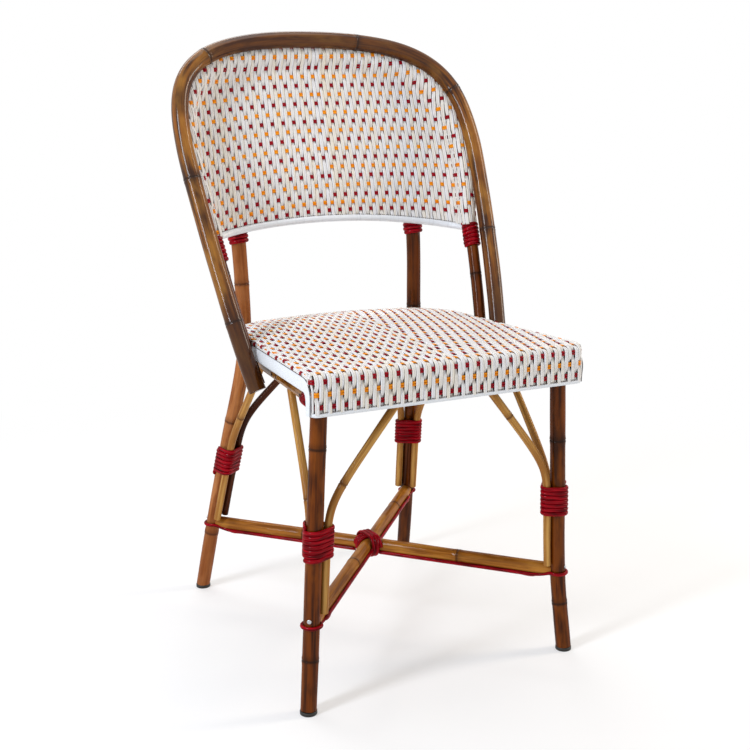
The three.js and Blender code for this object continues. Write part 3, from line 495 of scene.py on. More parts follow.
rail_paths = {}
for word in ("left", "right"):
    rail_paths[word] = between(("front", word), ("rear", word), side_rail_z)
    part = pole(rail_paths[word], side_rail_radius, [0.45], 0.5, 28)
    piece("side_rail_" + word, [part], hoop_rattan, crease=50)
for end in ("front", "rear"):
    path = between((end, "left"), (end, "right"), cross_rail_z)
    part = pole(path, cross_rail_radius, [0.3, 0.8], 0.5, 28)
    piece(end + "_rail", [part], frame_rattan, crease=50)

# Stretchers: two poles that cross from leg to leg near the floor, half lapped in the middle.
# A screw through each leg holds each end, and a red tie pulls the leg against it.
stretcher_z = 122.6
stretcher_radius = 9.5
stretcher_nodes = {"over": [0.36, 0.83], "under": [0.28, 0.74]}
# Amber skin, less stained than the legs, so that the fibre shows.
amber_rattan = rattan("varnished_amber_rattan", "#ac6c26", "#7a4512", "#c08434", "#3e1e0a")
stretchers = {"over": (("front", "left"), ("rear", "right")),
              "under": (("rear", "left"), ("front", "right"))}
for word, (first, last) in stretchers.items():
    part = pole(between(first, last, stretcher_z), stretcher_radius, stretcher_nodes[word], 0.6, 30)
    piece("stretcher_" + word, [part], amber_rattan, crease=50)

# Braces: eight thin canes with their skin on, two to a leg. Each stands along the leg inside the
# winding, then bends away and is nailed under a rail; one is dark brown and the others are pale.
brace_radius = 5.5
beside_leg = leg_radius + brace_radius + 1
brace_low = 133
brace_turn = 14
# Straw-coloured cane under clear varnish, and one cane as dark as the legs.
pale_cane = rattan("varnished_pale_cane", "#cc9c54", "#98642c", "#b07c38", "#5c3412")
dark_cane = rattan("varnished_dark_cane", "#5a2c10", "#361706", "#6e3a14", "#1f0d05")
bends = {("front", "cross"): (281, 0.76), ("front", "side"): (266, 0.68),
         ("rear", "cross"): (305, 0.84), ("rear", "side"): (276, 0.54)}
brace_starts = {}


def brace_path(end, word, kind):
    """Path of a brace: beside the leg, then bending out to the rail."""
    key = (end, word)
    height, steep = bends[end, kind]
    under = cross_rail_z - cross_rail_radius if kind == "cross" else side_rail_z - side_rail_radius
    heights = np.arange(brace_low, under + 2, 3.0)
    reach = beside_leg + steep * brace_turn * np.log1p(np.exp((heights - height) / brace_turn))
    axis = np.array([axis_at(key, z) for z in heights])
    if kind == "cross":
        way = np.array([1.0 if word == "left" else -1.0, 0, 0])
    else:
        other = "rear" if end == "front" else "front"
        way = unit((axis_at((other, word), side_rail_z) - axis_at(key, side_rail_z)) * (1, 1, 0))
    return axis + reach[:, None] * way


for end in ("front", "rear"):
    for word in ("left", "right"):
        for kind in ("cross", "side"):
            path = brace_path(end, word, kind)
            brace_starts[end, word, kind] = path
            part = pole(path, brace_radius, [0.3 + 0.5 * seeds.uniform()], 0.35, 20)
            look = dark_cane if (end, word, kind) == ("rear", "left", "cross") else pale_cane
            piece(f"brace_{end}_{word}_{kind}", [part], look, crease=50)

# Red windings: flat strands of dyed cane wound tight and glossy, turn against turn.
# Each ends tucked under its own last turn; every turn catches the light as a small white spot.
red_cane, tree = begin("glossy_red_wound_cane")
grain = read(tree, "grain", "Vector")
# Noise spreads the red from deep to bright; the bright patches are partly painted highlight on the turns,
# partly uneven dye.
tone_and_painted_sheen = spread(tree, pattern(tree, grain, (40, 500, 500), 3), 0.3, 0.7)
body = blend(tree, tone_and_painted_sheen, colour("#4c0005"), colour("#a80418"))
surface(tree, body, 0.4, pattern(tree, grain, (20, 1500, 1500), 2), 0.0002, 0.4, Coat_Weight=0.16,
        Coat_Roughness=0.06, Specular_IOR_Level=0.01)
strand_wide = 3.05
strand_thick = 2.3
wind_pitch = 6.2
wrap_low = 211.5
wrap_low_rear_right = 218
wrap_turns = 7
loop_steps = 48


def outline_of(circles, grow):
    """The tight line round some circles in a flat section, as an even closed loop."""
    turn = np.linspace(0, math.tau, 96, endpoint=False)
    cloud = np.vstack([np.array(middle) + (radius + grow) * np.stack([np.cos(turn), np.sin(turn)], -1)
                       for middle, radius in circles])
    cloud = cloud[np.lexsort((cloud[:, 1], cloud[:, 0]))]

    def chain(points):
        kept_points = []
        for point in points:
            while len(kept_points) > 1:
                first = kept_points[-1] - kept_points[-2]
                second = point - kept_points[-1]
                if first[0] * second[1] - first[1] * second[0] > 0:
                    break
                kept_points.pop()
            kept_points.append(point)
        return kept_points[:-1]

    loop = np.array(chain(list(cloud)) + chain(list(cloud[::-1])))
    loop = np.vstack([loop, loop[:1]])
    along = lengths(loop)
    return read_off(np.linspace(0, along[-1], loop_steps + 1)[:-1], along, loop)


def winding(centre, first, second, circles, turns, pitch=wind_pitch):
    """A strand wound round a section; centre gives the section's middle for a height."""
    loop = outline_of(circles, strand_thick)
    step = np.arange(turns * loop_steps + 1)
    corner = loop[step % loop_steps]
    ahead = loop[(step + 1) % loop_steps] - loop[(step - 1) % loop_steps]
    middles = np.array([centre(rise) for rise in step / loop_steps * pitch])
    path = middles + corner[:, :1] * first + corner[:, 1:] * second
    outward = unit(ahead[:, 1:] * first - ahead[:, :1] * second)
    return sweep(path, strand_wide, strand_thick, outward, 10)


for key in leg_paths:
    end, word = key
    low = wrap_low_rear_right if key == ("rear", "right") else wrap_low
    cross = np.array([1.0 if word == "left" else -1.0, 0, 0])
    side_way = unit(brace_starts[end, word, "side"][0] - axis_at(key, brace_low))
    second = unit(np.cross((0, 0, 1.0), cross))
    if np.dot(second, side_way) < 0:
        second = -second
    spot = (side_way @ cross * beside_leg, side_way @ second * beside_leg)
    circles = [((0, 0), leg_radius), ((beside_leg, 0), brace_radius), (spot, brace_radius)]
    part = winding(lambda rise: axis_at(key, low + rise), cross, second, circles, wrap_turns)
    piece(f"leg_wrap_{end}_{word}", [part], red_cane)


def wind_on(path, start, turns, radius, name):
    """Winds a pole from a distance along its path."""
    way = unit(at(path, [start + 10])[0] - at(path, [start])[0])
    first = unit(np.cross(way, (0, 0, 1.0)))
    second = np.cross(way, first)
    part = winding(lambda rise: at(path, [start + rise])[0], first, second, [((0, 0), radius)], turns)
    piece(name, [part], red_cane)


post_wrap_z = 596
whole_arch = both_sides(on_back(arch_half[:, 0], arch_half[:, 1], arch_depth))
for word, sign in (("left", -1), ("right", 1)):
    wind_on(rail_paths[word], 14, 3, side_rail_radius, "rail_wrap_" + word)
    half = whole_arch[whole_arch[:, 0] * sign > 0]
    half = half[np.argsort(half[:, 2])]
    rail_end = panel_point(sign * rail_half, float(panel_low))
    meet = lengths(half)[np.argmin(np.linalg.norm(half - rail_end, axis=1))]
    wind_on(half, meet + 9 - 6 * wind_pitch, 6, arch_radius, "panel_wrap_" + word)
    post = leg_paths["rear", word]
    reach = lengths(post)[np.argmin(abs(post[:, 2] - post_wrap_z))]
    wind_on(post, reach - 3 * wind_pitch, 3, leg_radius, "post_wrap_" + word)

# Stretcher ties: a doubled red strand from the crossing along the underside of each arm,
# pulled round the leg and back, so that the leg is held against the stretcher's end.
tie_radius = 2.2
tie_half = 2.4
tie_hidden = 20
tie_neck = 22
crossing = np.array([0, -2.6, stretcher_z])
down = stretcher_radius + tie_radius
for key in leg_paths:
    over = key in stretchers["over"]
    leg = axis_at(key, stretcher_z)
    away = unit(crossing - leg)
    flank = np.cross((0, 0, 1.0), away)
    low_side = math.radians(62 if over else 28)
    right_side = unit(np.array((0.75 if over else -0.75, -0.66, 0)))
    hang = (right_side * math.sin(low_side) - np.array((0, 0, math.cos(low_side)))) * down
    beside = np.cross(hang, away)
    beside = unit(beside) * (tie_half if np.dot(beside, flank) > 0 else -tie_half)
    reach = np.linspace(np.linalg.norm(crossing - leg) - tie_hidden, tie_neck + 12, 12)
    arm = leg + away * reach[:, None] + hang
    neck = leg + away * tie_neck + (0, 0, 4 - down)
    turn = np.linspace(math.radians(58), math.radians(302), 17)[:, None]
    ring = leg + (leg_radius + tie_radius) * (away * np.cos(turn) + flank * np.sin(turn)) - (0, 0, 2.5)
    points = np.vstack([arm + beside, neck + flank * 7, ring, neck - flank * 7, arm[::-1] - beside])
    part = sweep(even(curve_through(points), 2), tie_radius + 0.3, tie_radius, None, 10)
    piece("stretcher_tie_" + "_".join(key), [part], red_cane)

# Centre lashing: red strand wound over the crossing both ways, three turns each.
# The upper winding lies on the lower one and hides the inner ends of the ties.
lashing_pitch = 5.7
lashing_start = -8.6
lashing_side = 7
upper_grow = 3.4
upward = np.array((0, 0, 1.0))
for name, first, run, grow in (("centre_lashing_lower", (1.0, 0, 0), (0, 1.0, 0), 0.0),
                               ("centre_lashing_upper", (0, 1.0, 0), (1.0, 0, 0), upper_grow)):
    first, run = np.array(first), np.array(run)
    circles = [((side * (lashing_side + grow), 0), stretcher_radius + grow) for side in (-1, 1)]
    part = winding(lambda rise: crossing + run * (rise + lashing_start), first, upward, circles, 3,
                   lashing_pitch)
    piece(name, [part], red_cane)

# Woven back: a three-end twill that mirrors about the middle. Each white column is a pair of flat
# strands; each row is a pair of red or orange ones, seen only where it crosses over a column.
column_wide = 5.95
last_back_column = 52
top_row = 525.4
row_pitch = 15.26
row_reach = 235
row_tilt = 13
row_droop = 21
rows_on_back = 19
float_height = 1.1
white_half = 1.72
coloured_half = 1.52


def strand_material(name, first, second, mark, roughness):
    """Smooth plastic strand with a faint line along it and a tone of its own."""
    material, tree = begin(name)
    grain = read(tree, "grain", "Vector")
    body = blend(tree, read(tree, "tone"), colour(first), colour(second))
    soft = spread(tree, pattern(tree, grain, (60, 260, 260), 3), 0.45, 0.8)
    body = blend(tree, times(tree, soft, 0.22), body, colour(mark))
    line = pattern(tree, grain, (12, 2600, 2600), 2)
    surface(tree, body, roughness, line, 0.0001, 0.35, Coat_Weight=0.08, Coat_Roughness=0.25,
            Specular_IOR_Level=0.1)
    return material


# White strand is semi-matt, some lengths creamy and some bluish, as weathered resin wicker is.
# The red is deep and the orange clear; both are smooth, with a faint line drawn along the strand.
white_strand = strand_material("white_woven_strand", "#e7e0d2", "#e5e6ea", "#cbc4b6", 0.45)
red_strand = strand_material("red_woven_strand", "#8c0014", "#9c0219", "#5c000c", 0.4)
orange_strand = strand_material("orange_woven_strand", "#ea8206", "#f39a16", "#bd5c04", 0.4)


def sheet_table(slope):
    """Places across the sheet at each slope with the distance along its curve."""
    half, _ = arch_at(slope)
    share = 1 - (1 - np.linspace(0, 1, 90)) ** 2
    across = np.maximum(half - sheet_inset, 1)[:, None] * share
    depth = sag_at(across, np.broadcast_to(slope[:, None], across.shape))
    steps = np.hypot(np.diff(across, axis=1), np.diff(depth, axis=1))
    along = np.concatenate([np.zeros((len(slope), 1)), np.cumsum(steps, axis=1)], axis=1)
    return across, depth, along


def sheet(around, slope):
    """Points of the sheet a distance along its curve from the middle column."""
    around, slope = (np.asarray(a, float) for a in np.broadcast_arrays(around, slope))
    across, depth, along = sheet_table(slope)
    wanted = np.minimum(np.abs(around), along[:, -1] - 1e-6)
    low = (along < wanted[:, None]).sum(1).clip(1, along.shape[1] - 1)
    pick = np.arange(len(slope))
    gap = along[pick, low] - along[pick, low - 1]
    share = np.clip((wanted - along[pick, low - 1]) / np.maximum(gap, 1e-9), 0, 1)
    x = across[pick, low - 1] * (1 - share) + across[pick, low] * share
    sag = depth[pick, low - 1] * (1 - share) + depth[pick, low] * share
    _, back = arch_at(slope)
    place = on_back(x * np.sign(around + 1e-12), slope, back)
    place[:, 1] += sag
    return place


def sheet_half(slope):
    """Distance along the curve from the middle to the inner arch."""
    return sheet_table(np.atleast_1d(np.asarray(slope, float)))[2][:, -1]


def row_slope(row, around):
    """Height of a row, counted from the top, a distance along from the middle."""
    straight = top_row - row_pitch * (row - 1) - 0.6 * np.maximum(3 - row, 0)
    low = 1 - np.clip((straight - 240) / 280, 0, 1)
    share = np.asarray(around, float) / row_reach
    tilt = row_tilt * np.sign(share) * np.abs(share) ** 1.5 - 3 * share ** 2
    return straight + 3.0 * np.maximum(row - 17, 0) - row_droop * low * share ** 2 + tilt


def rail_line(around):
    """Height of the bottom rail a distance along from the middle."""
    return rail_slope(np.clip(np.abs(around) / 262, 0, 1) * 0.98)


def back_type(row):
    """Which of every three columns a row crosses over."""
    return (1 - row) % 3


def weave_height(places, on_top, early=0.24):
    """Lift of a strand along its length from whether it lies on top at each whole place."""
    whole = np.floor(places).astype(int)
    part_way = places - whole
    here = np.array([on_top(k) for k in whole], float)
    there = np.array([on_top(k + 1) for k in whole], float)
    return here + (there - here) * ease(part_way, early, 1 - early)


# The right half of the inner arch, as a line in space and as a line on the weave laid out flat.
wrap_radius = arch_radius + 1.5
wrap_end = math.radians(190) * wrap_radius
arch_slopes = (arch_path - back_foot) @ slope_up
arch_side = even(arch_path[(arch_path[:, 0] > -12) & (arch_slopes > 190)], 1.5)
side_way = unit(np.gradient(arch_side, axis=0))
side_out = np.cross(side_way, slope_front)
side_out = side_out * np.sign(side_out @ (slope_up + (1, 0, 0)))[:, None]
side_slopes = (arch_side - back_foot) @ slope_up
below_crown = np.minimum(side_slopes, crown_slope - 0.2)
sheet_edge = np.maximum(arch_at(below_crown)[0] - sheet_inset, 1)
side_around = arch_side[:, 0] + sheet_half(below_crown) - sheet_edge
side_flat = np.stack([side_around, side_slopes], -1)
flat_way = unit(np.gradient(side_flat, axis=0))
flat_step = np.linalg.norm(np.gradient(side_flat, axis=0), axis=1)
flat_out = np.stack([-flat_way[:, 1], flat_way[:, 0]], -1)
flat_out = flat_out * np.sign(flat_out.sum(-1, keepdims=True))
back_rows = np.arange(-4, 24)


def over_arch(around, slope):
    """Points of the woven skin right of the middle: along the sheet, then on over the inner arch.
    The second value is the distance past the front of the arch."""
    flat = np.stack([around, slope], -1)
    near = np.linalg.norm(flat[:, None] - side_flat[None], axis=-1).argmin(1)
    near = near + ((flat - side_flat[near]) * flat_way[near]).sum(-1) / flat_step[near]

    def found(table):
        return read_off(near, np.arange(len(table)), table)

    centre, out = found(arch_side), unit(found(side_out))
    past = ((flat - found(side_flat)) * unit(found(flat_out))).sum(-1)
    turn = (np.maximum(past, 0) / wrap_radius)[:, None]
    way = np.cos(turn) * slope_front + np.sin(turn) * out
    over = centre + out * np.minimum(past, 0)[:, None] + way * wrap_radius
    held = ease(past, -32, -4)[:, None]
    return sheet(around, np.minimum(slope, crown_slope - 0.3)) * (1 - held) + over * held, past


def woven(around, slope):
    """Places on the woven skin with the directions square to it and the distances past the arch."""
    side = np.abs(around)
    place, past = over_arch(side, slope)
    across = over_arch(side + 0.6, slope)[0] - over_arch(side - 0.6, slope)[0]
    upward = over_arch(side, slope + 0.6)[0] - over_arch(side, slope - 0.6)[0]
    mirror = np.where(around < 0, -1.0, 1.0)[:, None] * (1, 0, 0) + (0, 1, 1)
    return place * mirror, unit(np.cross(across, upward)) * mirror, past


def runs(inside):
    """First and last place of each unbroken stretch."""
    edges = np.flatnonzero(np.diff(np.concatenate([[0], inside.astype(int), [0]])))
    return [pair for pair in edges.reshape(-1, 2) if pair[1] - pair[0] > 6]


def back_line(around):
    """Line of a column: slopes, places and facings from the bottom rail up and over the arch."""
    slope = np.arange(rail_line(around) - 1, crown_slope + wrap_end, 2.3)
    place, facing, past = woven(np.full(len(slope), around), slope)
    found = runs(past < wrap_end)
    if not found:
        return None
    first, last = max(found, key=lambda pair: pair[1] - pair[0])
    return slope[first:last], place[first:last], facing[first:last]


def column_on_back(column, offset):
    """One white strand of the back, under every third row."""
    around = column * column_wide + offset
    line = back_line(around)
    if line is None:
        return None
    slope, place, facing = line
    rows = np.interp(-slope, -row_slope(back_rows, around), back_rows)
    lift = weave_height(rows, lambda row: -1 if row > 0 and abs(column) % 3 == back_type(row) else 1)
    lift = lift * float_height
    lift = np.where(lift < 0, 0.7 * lift, lift)
    return sweep(place + facing * lift[:, None], white_half, 1.0, facing, 6, 0.0, seeds.uniform() ** 0.8)


parts = {"left": [], "right": []}
for column in range(-last_back_column, last_back_column + 1):
    for offset in (-column_wide / 5, column_wide / 5):
        made = column_on_back(column, offset)
        if made:
            parts["left" if column < 0 else "right"].append(made)
for word, found in parts.items():
    piece("back_columns_" + word, found, white_strand, ["back_panel"])

# Coloured rows of the back: each runs from side to side over every third column and on round
# the inner arch to its back, where it is tucked in.
parts = {"red": [], "orange": []}
columns = np.arange(-56 * 3, 56 * 3 + 1) / 3
for row in range(1, rows_on_back + 1):
    lift = weave_height(columns, lambda k: 1 if abs(k) % 3 == back_type(row) else -1, 0.36) * float_height
    for offset in (-1.45, 1.45):
        slope = row_slope(row, columns * column_wide) + offset
        places, facing, past = woven(columns * column_wide, slope)
        path = places + facing * lift[:, None]
        for first, last in runs((past < wrap_end) & (slope > rail_line(columns * column_wide) + 2)):
            made = sweep(path[first:last], coloured_half, 0.9, facing[first:last], 6, 0.0, seeds.uniform())
            parts["red" if row % 2 else "orange"].append(made)
piece("back_rows_red", parts["red"], red_strand, ["back_panel"])
piece("back_rows_orange", parts["orange"], orange_strand, ["back_panel"])

# Painted shade in the slits: thin dark strips between the two faces of the weave, standing for the shadow
# seen there.
# Each stands half way between two columns and follows them from the bottom rail over the arch.
# Dull grey-brown painted shade, so dark that a slit reads as a thin shadow.
slit_shade_material, tree = begin("painted_slit_shade")
grain = read(tree, "grain", "Vector")
body = blend(tree, pattern(tree, grain, (40, 400, 400), 2), colour("#4a4038"), colour("#6a5f55"))
surface(tree, body, 0.8, pattern(tree, grain, (60, 900, 900), 2), 0.0001, 0.3)
parts = []
for column in range(-50, 50):
    line = back_line((column + 0.5) * column_wide)
    if line is not None:
        parts.append(sweep(line[1], 0.85, 0.12, line[2], 4))
piece("back_slit_shade", parts, slit_shade_material, ["back_panel"])

# Bottom rail of the back: a cane bent to the panel's curve, bound smooth with white strip.
# A dark stitched line runs along its top, where the columns are caught.
# Bluish white and half glossy, with faint cross lines where the strip is turned.
white_binding, tree = begin("smooth_white_binding")
grain = read(tree, "grain", "Vector")
turned = spread(tree, pattern(tree, grain, (320, 30, 30), 2), 0.5, 0.75)
body = blend(tree, times(tree, turned, 0.4), colour("#e1e5ea"), colour("#c6cad0"))
surface(tree, body, 0.38, pattern(tree, grain, (700, 60, 60), 2), 0.0002, 0.4, Coat_Weight=0.2,
        Coat_Roughness=0.2)
# Dull dark thread, seen as a fine broken line.
stitch_material, tree = begin("dark_waxed_stitch")
grain = read(tree, "grain", "Vector")
surface(tree, colour("#3c3029"), 0.6, pattern(tree, grain, (900, 900, 900), 2), 0.0001, 0.4)
shares = np.linspace(-1, 1, 181)
rail_path = even(panel_point(shares * rail_half, rail_slope(np.abs(shares))), 3) + slope_up * 2.6
part = sweep(rail_path, 6.0, 5.1, (0, 0, 1.0), 24)
piece("panel_bottom_rail", [part], white_binding, crease=60)


def stitches(path, facing, pitch, long, wide, name):
    """Short dark stitches one after another along a line."""
    total = lengths(path)[-1]
    found = []
    for place in np.arange(pitch, total - pitch, pitch):
        short = at(path, place + np.linspace(-long / 2, long / 2, 3))
        found.append(sweep(short, wide, 0.35, facing, 4))
    piece(name, found, stitch_material, [])


top_line = rail_path + slope_front * 3.4 + slope_up * 4.6
stitches(top_line[3:-3], slope_front, 3.3, 2.0, 0.5, "panel_rail_stitches")

# Woven seat: the same twill over a crowned slab. Columns climb the drop front, turn over the edge,
# close up a little toward the back and go down behind; rows run from side to side.
seat_front = -250.0
front_half = 204.0
middle_half = 184.5
seat_rear = 130.0
seat_edge_z = 459.0
seat_crown = 12.5
apron_low = 408.5
rear_low = 451.0
corner_round = 9
front_bend = 8.0
rear_bend = 5
rear_power = 3.2
seat_rows = 27
seat_pitch = 16.0
last_column = 36
seat_white_half = 1.66
seat_coloured_half = 1.6


def seat_half(y):
    """Half width of the seat at a distance from front to back."""
    y = np.asarray(y, float)
    ahead = front_half + (middle_half - front_half) * np.clip((y - seat_front) / -seat_front, 0, 1)
    share = np.clip(y / seat_rear, 0, 1)
    return np.where(y < 0, ahead, middle_half * (1 - share ** rear_power) ** (1 / rear_power))


def rear_edge(steps):
    """The seat's rounded rear edge, from the right side to the middle of the back."""
    turn = np.linspace(0, math.pi / 2, steps)
    across = middle_half * np.cos(turn) ** (2 / rear_power)
    return np.stack([across, seat_rear * np.sin(turn) ** (2 / rear_power)], -1)


def seat_height(x, y):
    """Height of the crowned top."""
    deep = np.where(y < 30, (y - 30) / 282, (y - 30) / 102)
    away = np.clip((x / middle_half) ** 2 * 0.92 + deep ** 2, 0, 1)
    return seat_edge_z + seat_crown * (1 - away) ** 1.2


def seat_profile(place):
    """Front to back line of the seat for a column place, as points with their distances."""
    share = place / last_column / 1.004
    x_front = share * front_half
    corner = max(abs(x_front) - (front_half - corner_round), 0)
    face = seat_front + corner_round - math.sqrt(max(corner_round ** 2 - corner ** 2, 0))
    back = seat_rear * max(1 - abs(share) ** rear_power, 0) ** (1 / rear_power)
    ys = np.linspace(face + front_bend, back - rear_bend, 120)
    xs = np.where(ys < 0, share * seat_half(np.minimum(ys, -1e-6)), share * middle_half)
    tops = seat_height(xs, ys)
    rising = np.linspace(apron_low, tops[0] - front_bend, 12)
    apron = np.stack([np.full(12, x_front), np.full(12, face), rising], -1)
    turn = np.linspace(0, math.pi / 2, 9)[:-1]
    over_front = np.stack([np.full(8, x_front), face + front_bend - front_bend * np.cos(turn),
                           tops[0] - front_bend + front_bend * np.sin(turn)], -1)
    turn = np.linspace(0, math.pi / 2, 7)[1:]
    over_rear = np.stack([np.full(6, xs[-1]), back - rear_bend + rear_bend * np.sin(turn),
                          tops[-1] - rear_bend + rear_bend * np.cos(turn)], -1)
    drop = np.array([[xs[-1], back, rear_low]])
    line = np.vstack([apron[:-1], over_front, np.stack([xs, ys, tops], -1), over_rear, drop])
    return line, lengths(line)


profiles = {}


def seat_at(place, along):
    """Points and outward directions of the seat for a column place, at distances up the line."""
    key = round(float(place), 4)
    if key not in profiles:
        profiles[key] = seat_profile(key)
    line, marks = profiles[key]
    way = unit(read_off(along + 1.2, marks, line) - read_off(along - 1.2, marks, line))
    facing = unit(np.stack([np.zeros(len(way)), -way[:, 2], way[:, 1]], -1))
    return read_off(along, marks, line), facing, marks[-1]


def seat_type(row):
    """Which of every three columns a seat row crosses over."""
    return (1 + row) % 3


first_row = 419 - apron_low
parts = {"left": [], "right": []}
for column in range(-last_column, last_column + 1):
    for offset in (-0.2, 0.2):
        place = column + offset
        reach = seat_at(place, np.zeros(1))[2]
        rows = np.arange(-1, seat_rows + 1)
        fractions = np.sort(np.concatenate([rows - 0.22, rows, rows + 0.22, rows + 0.4, rows + 0.6]))
        along = first_row + fractions * seat_pitch
        usable = (along > 0) & (along < reach)
        along = np.concatenate([[0], along[usable], [reach]])
        fractions = (along - first_row) / seat_pitch
        points, facing, _ = seat_at(place, along)
        high = 1.2 + 0.5 * ease(seat_edge_z - points[:, 2], 4, 14)
        lift = weave_height(fractions, lambda row: -1 if abs(column) % 3 == seat_type(row) else 1)
        lift[[0, -1]] = -0.6
        path = points + facing * (lift * high)[:, None]
        wide = seat_white_half * seat_half(np.clip(points[:, 1], seat_front, -1)) / front_half
        made = sweep(path, wide, 0.95, facing, 6, 0.0, seeds.uniform() ** 0.8)
        parts["left" if column < 0 else "right"].append(made)
for word, found in parts.items():
    piece("seat_columns_" + word, found, white_strand, ["seat_weave"])

parts = {"red": [], "orange": []}
places = np.arange(-last_column * 3 - 1, last_column * 3 + 2) / 3
for row in range(seat_rows):
    for offset in (-1.62, 1.62):
        along = first_row + row * seat_pitch + offset
        found = []
        for place in places:
            points, facing, reach = seat_at(place, np.array([along]))
            if along < reach - 2:
                found.append((place, points[0], facing[0]))
        if len(found) < 10:
            continue
        at_places, path, facing = (np.array(column) for column in zip(*found))
        lift = weave_height(at_places, lambda k: 1 if abs(k) % 3 == seat_type(row) else -1, 0.34)
        path = path + facing * (lift * float_height)[:, None]
        # Every second row that ends on the top is turned down over the side of the seat.
        if path[0][2] > rear_low + 1 and path[0][1] > seat_front + 24 and row % 2 == 0:
            path = np.vstack([path[0] + (-1.3, 0, -3.8), path[0] + (-1.3, 0, -1.2), path,
                              path[-1] + (1.3, 0, -1.2), path[-1] + (1.3, 0, -3.8)])
            side_facing = np.array([[-1.0, 0, 0.1], [-0.7, 0, 0.7]])
            facing = np.vstack([side_facing, facing, side_facing[::-1] * (-1, 1, 1)])
        made = sweep(path, seat_coloured_half, 0.8, facing, 6, 0.0, seeds.uniform())
        parts["orange" if row % 2 else "red"].append(made)
edge_ys = np.linspace(seat_front + 6, -2, 70)
edge_line = np.vstack([np.stack([seat_half(edge_ys), edge_ys], -1), rear_edge(80)])
edge_line = np.vstack([edge_line, (edge_line * (-1, 1))[::-1][1:]])
edge_line = even(np.concatenate([edge_line, np.full((len(edge_line), 1), seat_edge_z + 0.6)], axis=1), 3)
edge_way = unit(np.gradient(edge_line, axis=0))
edge_out = np.stack([edge_way[:, 1], -edge_way[:, 0], np.zeros(len(edge_way))], -1)
edges = []
for out, drop in ((-2.6, 0.0), (-0.4, 1.5), (0.5, 4.0), (0.7, 6.6)):
    way = unit(edge_out * (out + 2.8) + np.array((0, 0, max(3.2 - drop, 0.1))))
    edges.append(sweep(edge_line + edge_out * out - (0, 0, drop), 1.5, 0.9, way, 6, 0.0, seeds.uniform()))
piece("seat_edge_strands", edges, white_strand, ["seat_weave"])
piece("seat_rows_red", parts["red"], red_strand, ["seat_weave"])
piece("seat_rows_orange", parts["orange"], orange_strand, ["seat_weave"])

# Seat core: the board the weave is drawn over, seen only from below and in the slits, where its dark brown
# is painted shade.
# It is shaped like the seat a little inside the strands, and deeper behind the apron.
# Brown and nearly matt, with faint cloudy grain; kept dark so that it paints the shade in the slits.
board_and_slit_shade_material, tree = begin("brown_board_and_slit_shade")
object_place = add(tree, "TexCoord").outputs["Object"]
cloud = spread(tree, pattern(tree, object_place, (12, 160, 160), 4), 0.35, 0.7)
body = blend(tree, cloud, colour("#4b3220"), colour("#6b4a2e"))
surface(tree, body, 0.55, pattern(tree, object_place, (40, 700, 700), 3), 0.0002, 0.4)
board_low = 409.0
board_under = 432.0
shares = np.linspace(-1, 1, 73)
sections = []
for share in shares:
    place = share * last_column * 0.99
    reach = seat_profile(place)[1][-1]
    points, facing, _ = seat_at(place, np.linspace(1.5, reach, 70))
    points = points - facing * 2.6
    points[:, 2] = np.maximum(points[:, 2], board_low)
    low_z = np.where(points[:, 1] < -241, board_low, board_under)
    below = points[::-1].copy()
    below[:, 2] = np.minimum(low_z[::-1], below[:, 2] - 0.5)
    sections.append(np.vstack([points, below]))
grid = np.array(sections)
count, around = grid.shape[:2]
index = np.arange(count * around).reshape(count, around)
ahead = np.roll(index, -1, axis=1)
quads = np.stack([index[:-1], ahead[:-1], ahead[1:], index[1:]], -1).reshape(-1, 4).tolist()
caps = []
for side, flip in ((0, 1), (count - 1, -1)):
    for k in range(around // 2 - 1):
        corners = index[side][[k, k + 1, around - 2 - k, around - 1 - k]]
        caps.append(corners[::-flip].tolist())
blank = np.zeros((count * around, 3))
board = (grid.reshape(-1, 3), quads + caps, blank, np.zeros((count * around, 2)))
piece("seat_board", [board], board_and_slit_shade_material, ["seat_weave"], 40)

# Side band: a smooth white strip round the seat's sides and back, laid over the ends of the rows.
# At the front it turns down the apron's end; a thin dark line parts it from the weave.
band_middle = 443.0
band_bend = 16.0
band_front = -239.5
turn = np.linspace(0, math.pi / 2, 10)[1:]
lead = np.vstack([np.stack([np.full(8, band_front), np.linspace(407.5, band_middle - band_bend, 8)], -1),
                  np.stack([band_front + band_bend * (1 - np.cos(turn)),
                            band_middle - band_bend * (1 - np.sin(turn))], -1)])
steps = np.linspace(band_front + band_bend + 4, -2, 60)
lead = np.vstack([lead, np.stack([steps, np.full(60, band_middle)], -1)])
right_line = np.column_stack([seat_half(lead[:, 0]), lead])
rear_line = np.column_stack([rear_edge(60), np.full(60, band_middle)])
band_axis = np.vstack([right_line, rear_line])
band_axis = even(np.vstack([band_axis, (band_axis * (-1, 1, 1))[::-1][1:]]), 4)
band_way = unit(np.gradient(band_axis, axis=0))
upright = abs(band_way[:, 2]) > 0.95
band_out = np.stack([band_way[:, 1], -band_way[:, 0], np.zeros(len(band_way))], -1)
band_out[upright] = np.sign(band_axis[upright, :1]) * (1, 0, 0) + (0, 0.08, 0)
band_out = unit(band_out)
band_half = 7.0 + 2.6 * ease(band_axis[:, 2], 410, 441)
band_path = band_axis + band_out * 0.9
part = sweep(band_path, band_half, 2.4, band_out, 20)
piece("seat_side_band", [part], white_binding, crease=60)
band_edge = np.cross(band_way, band_out)
seam = band_path - band_edge * (band_half + 0.2)[:, None] + band_out * 0.7
piece("band_seam", [sweep(seam, 0.5, 0.5, band_out, 6)], stitch_material, [])

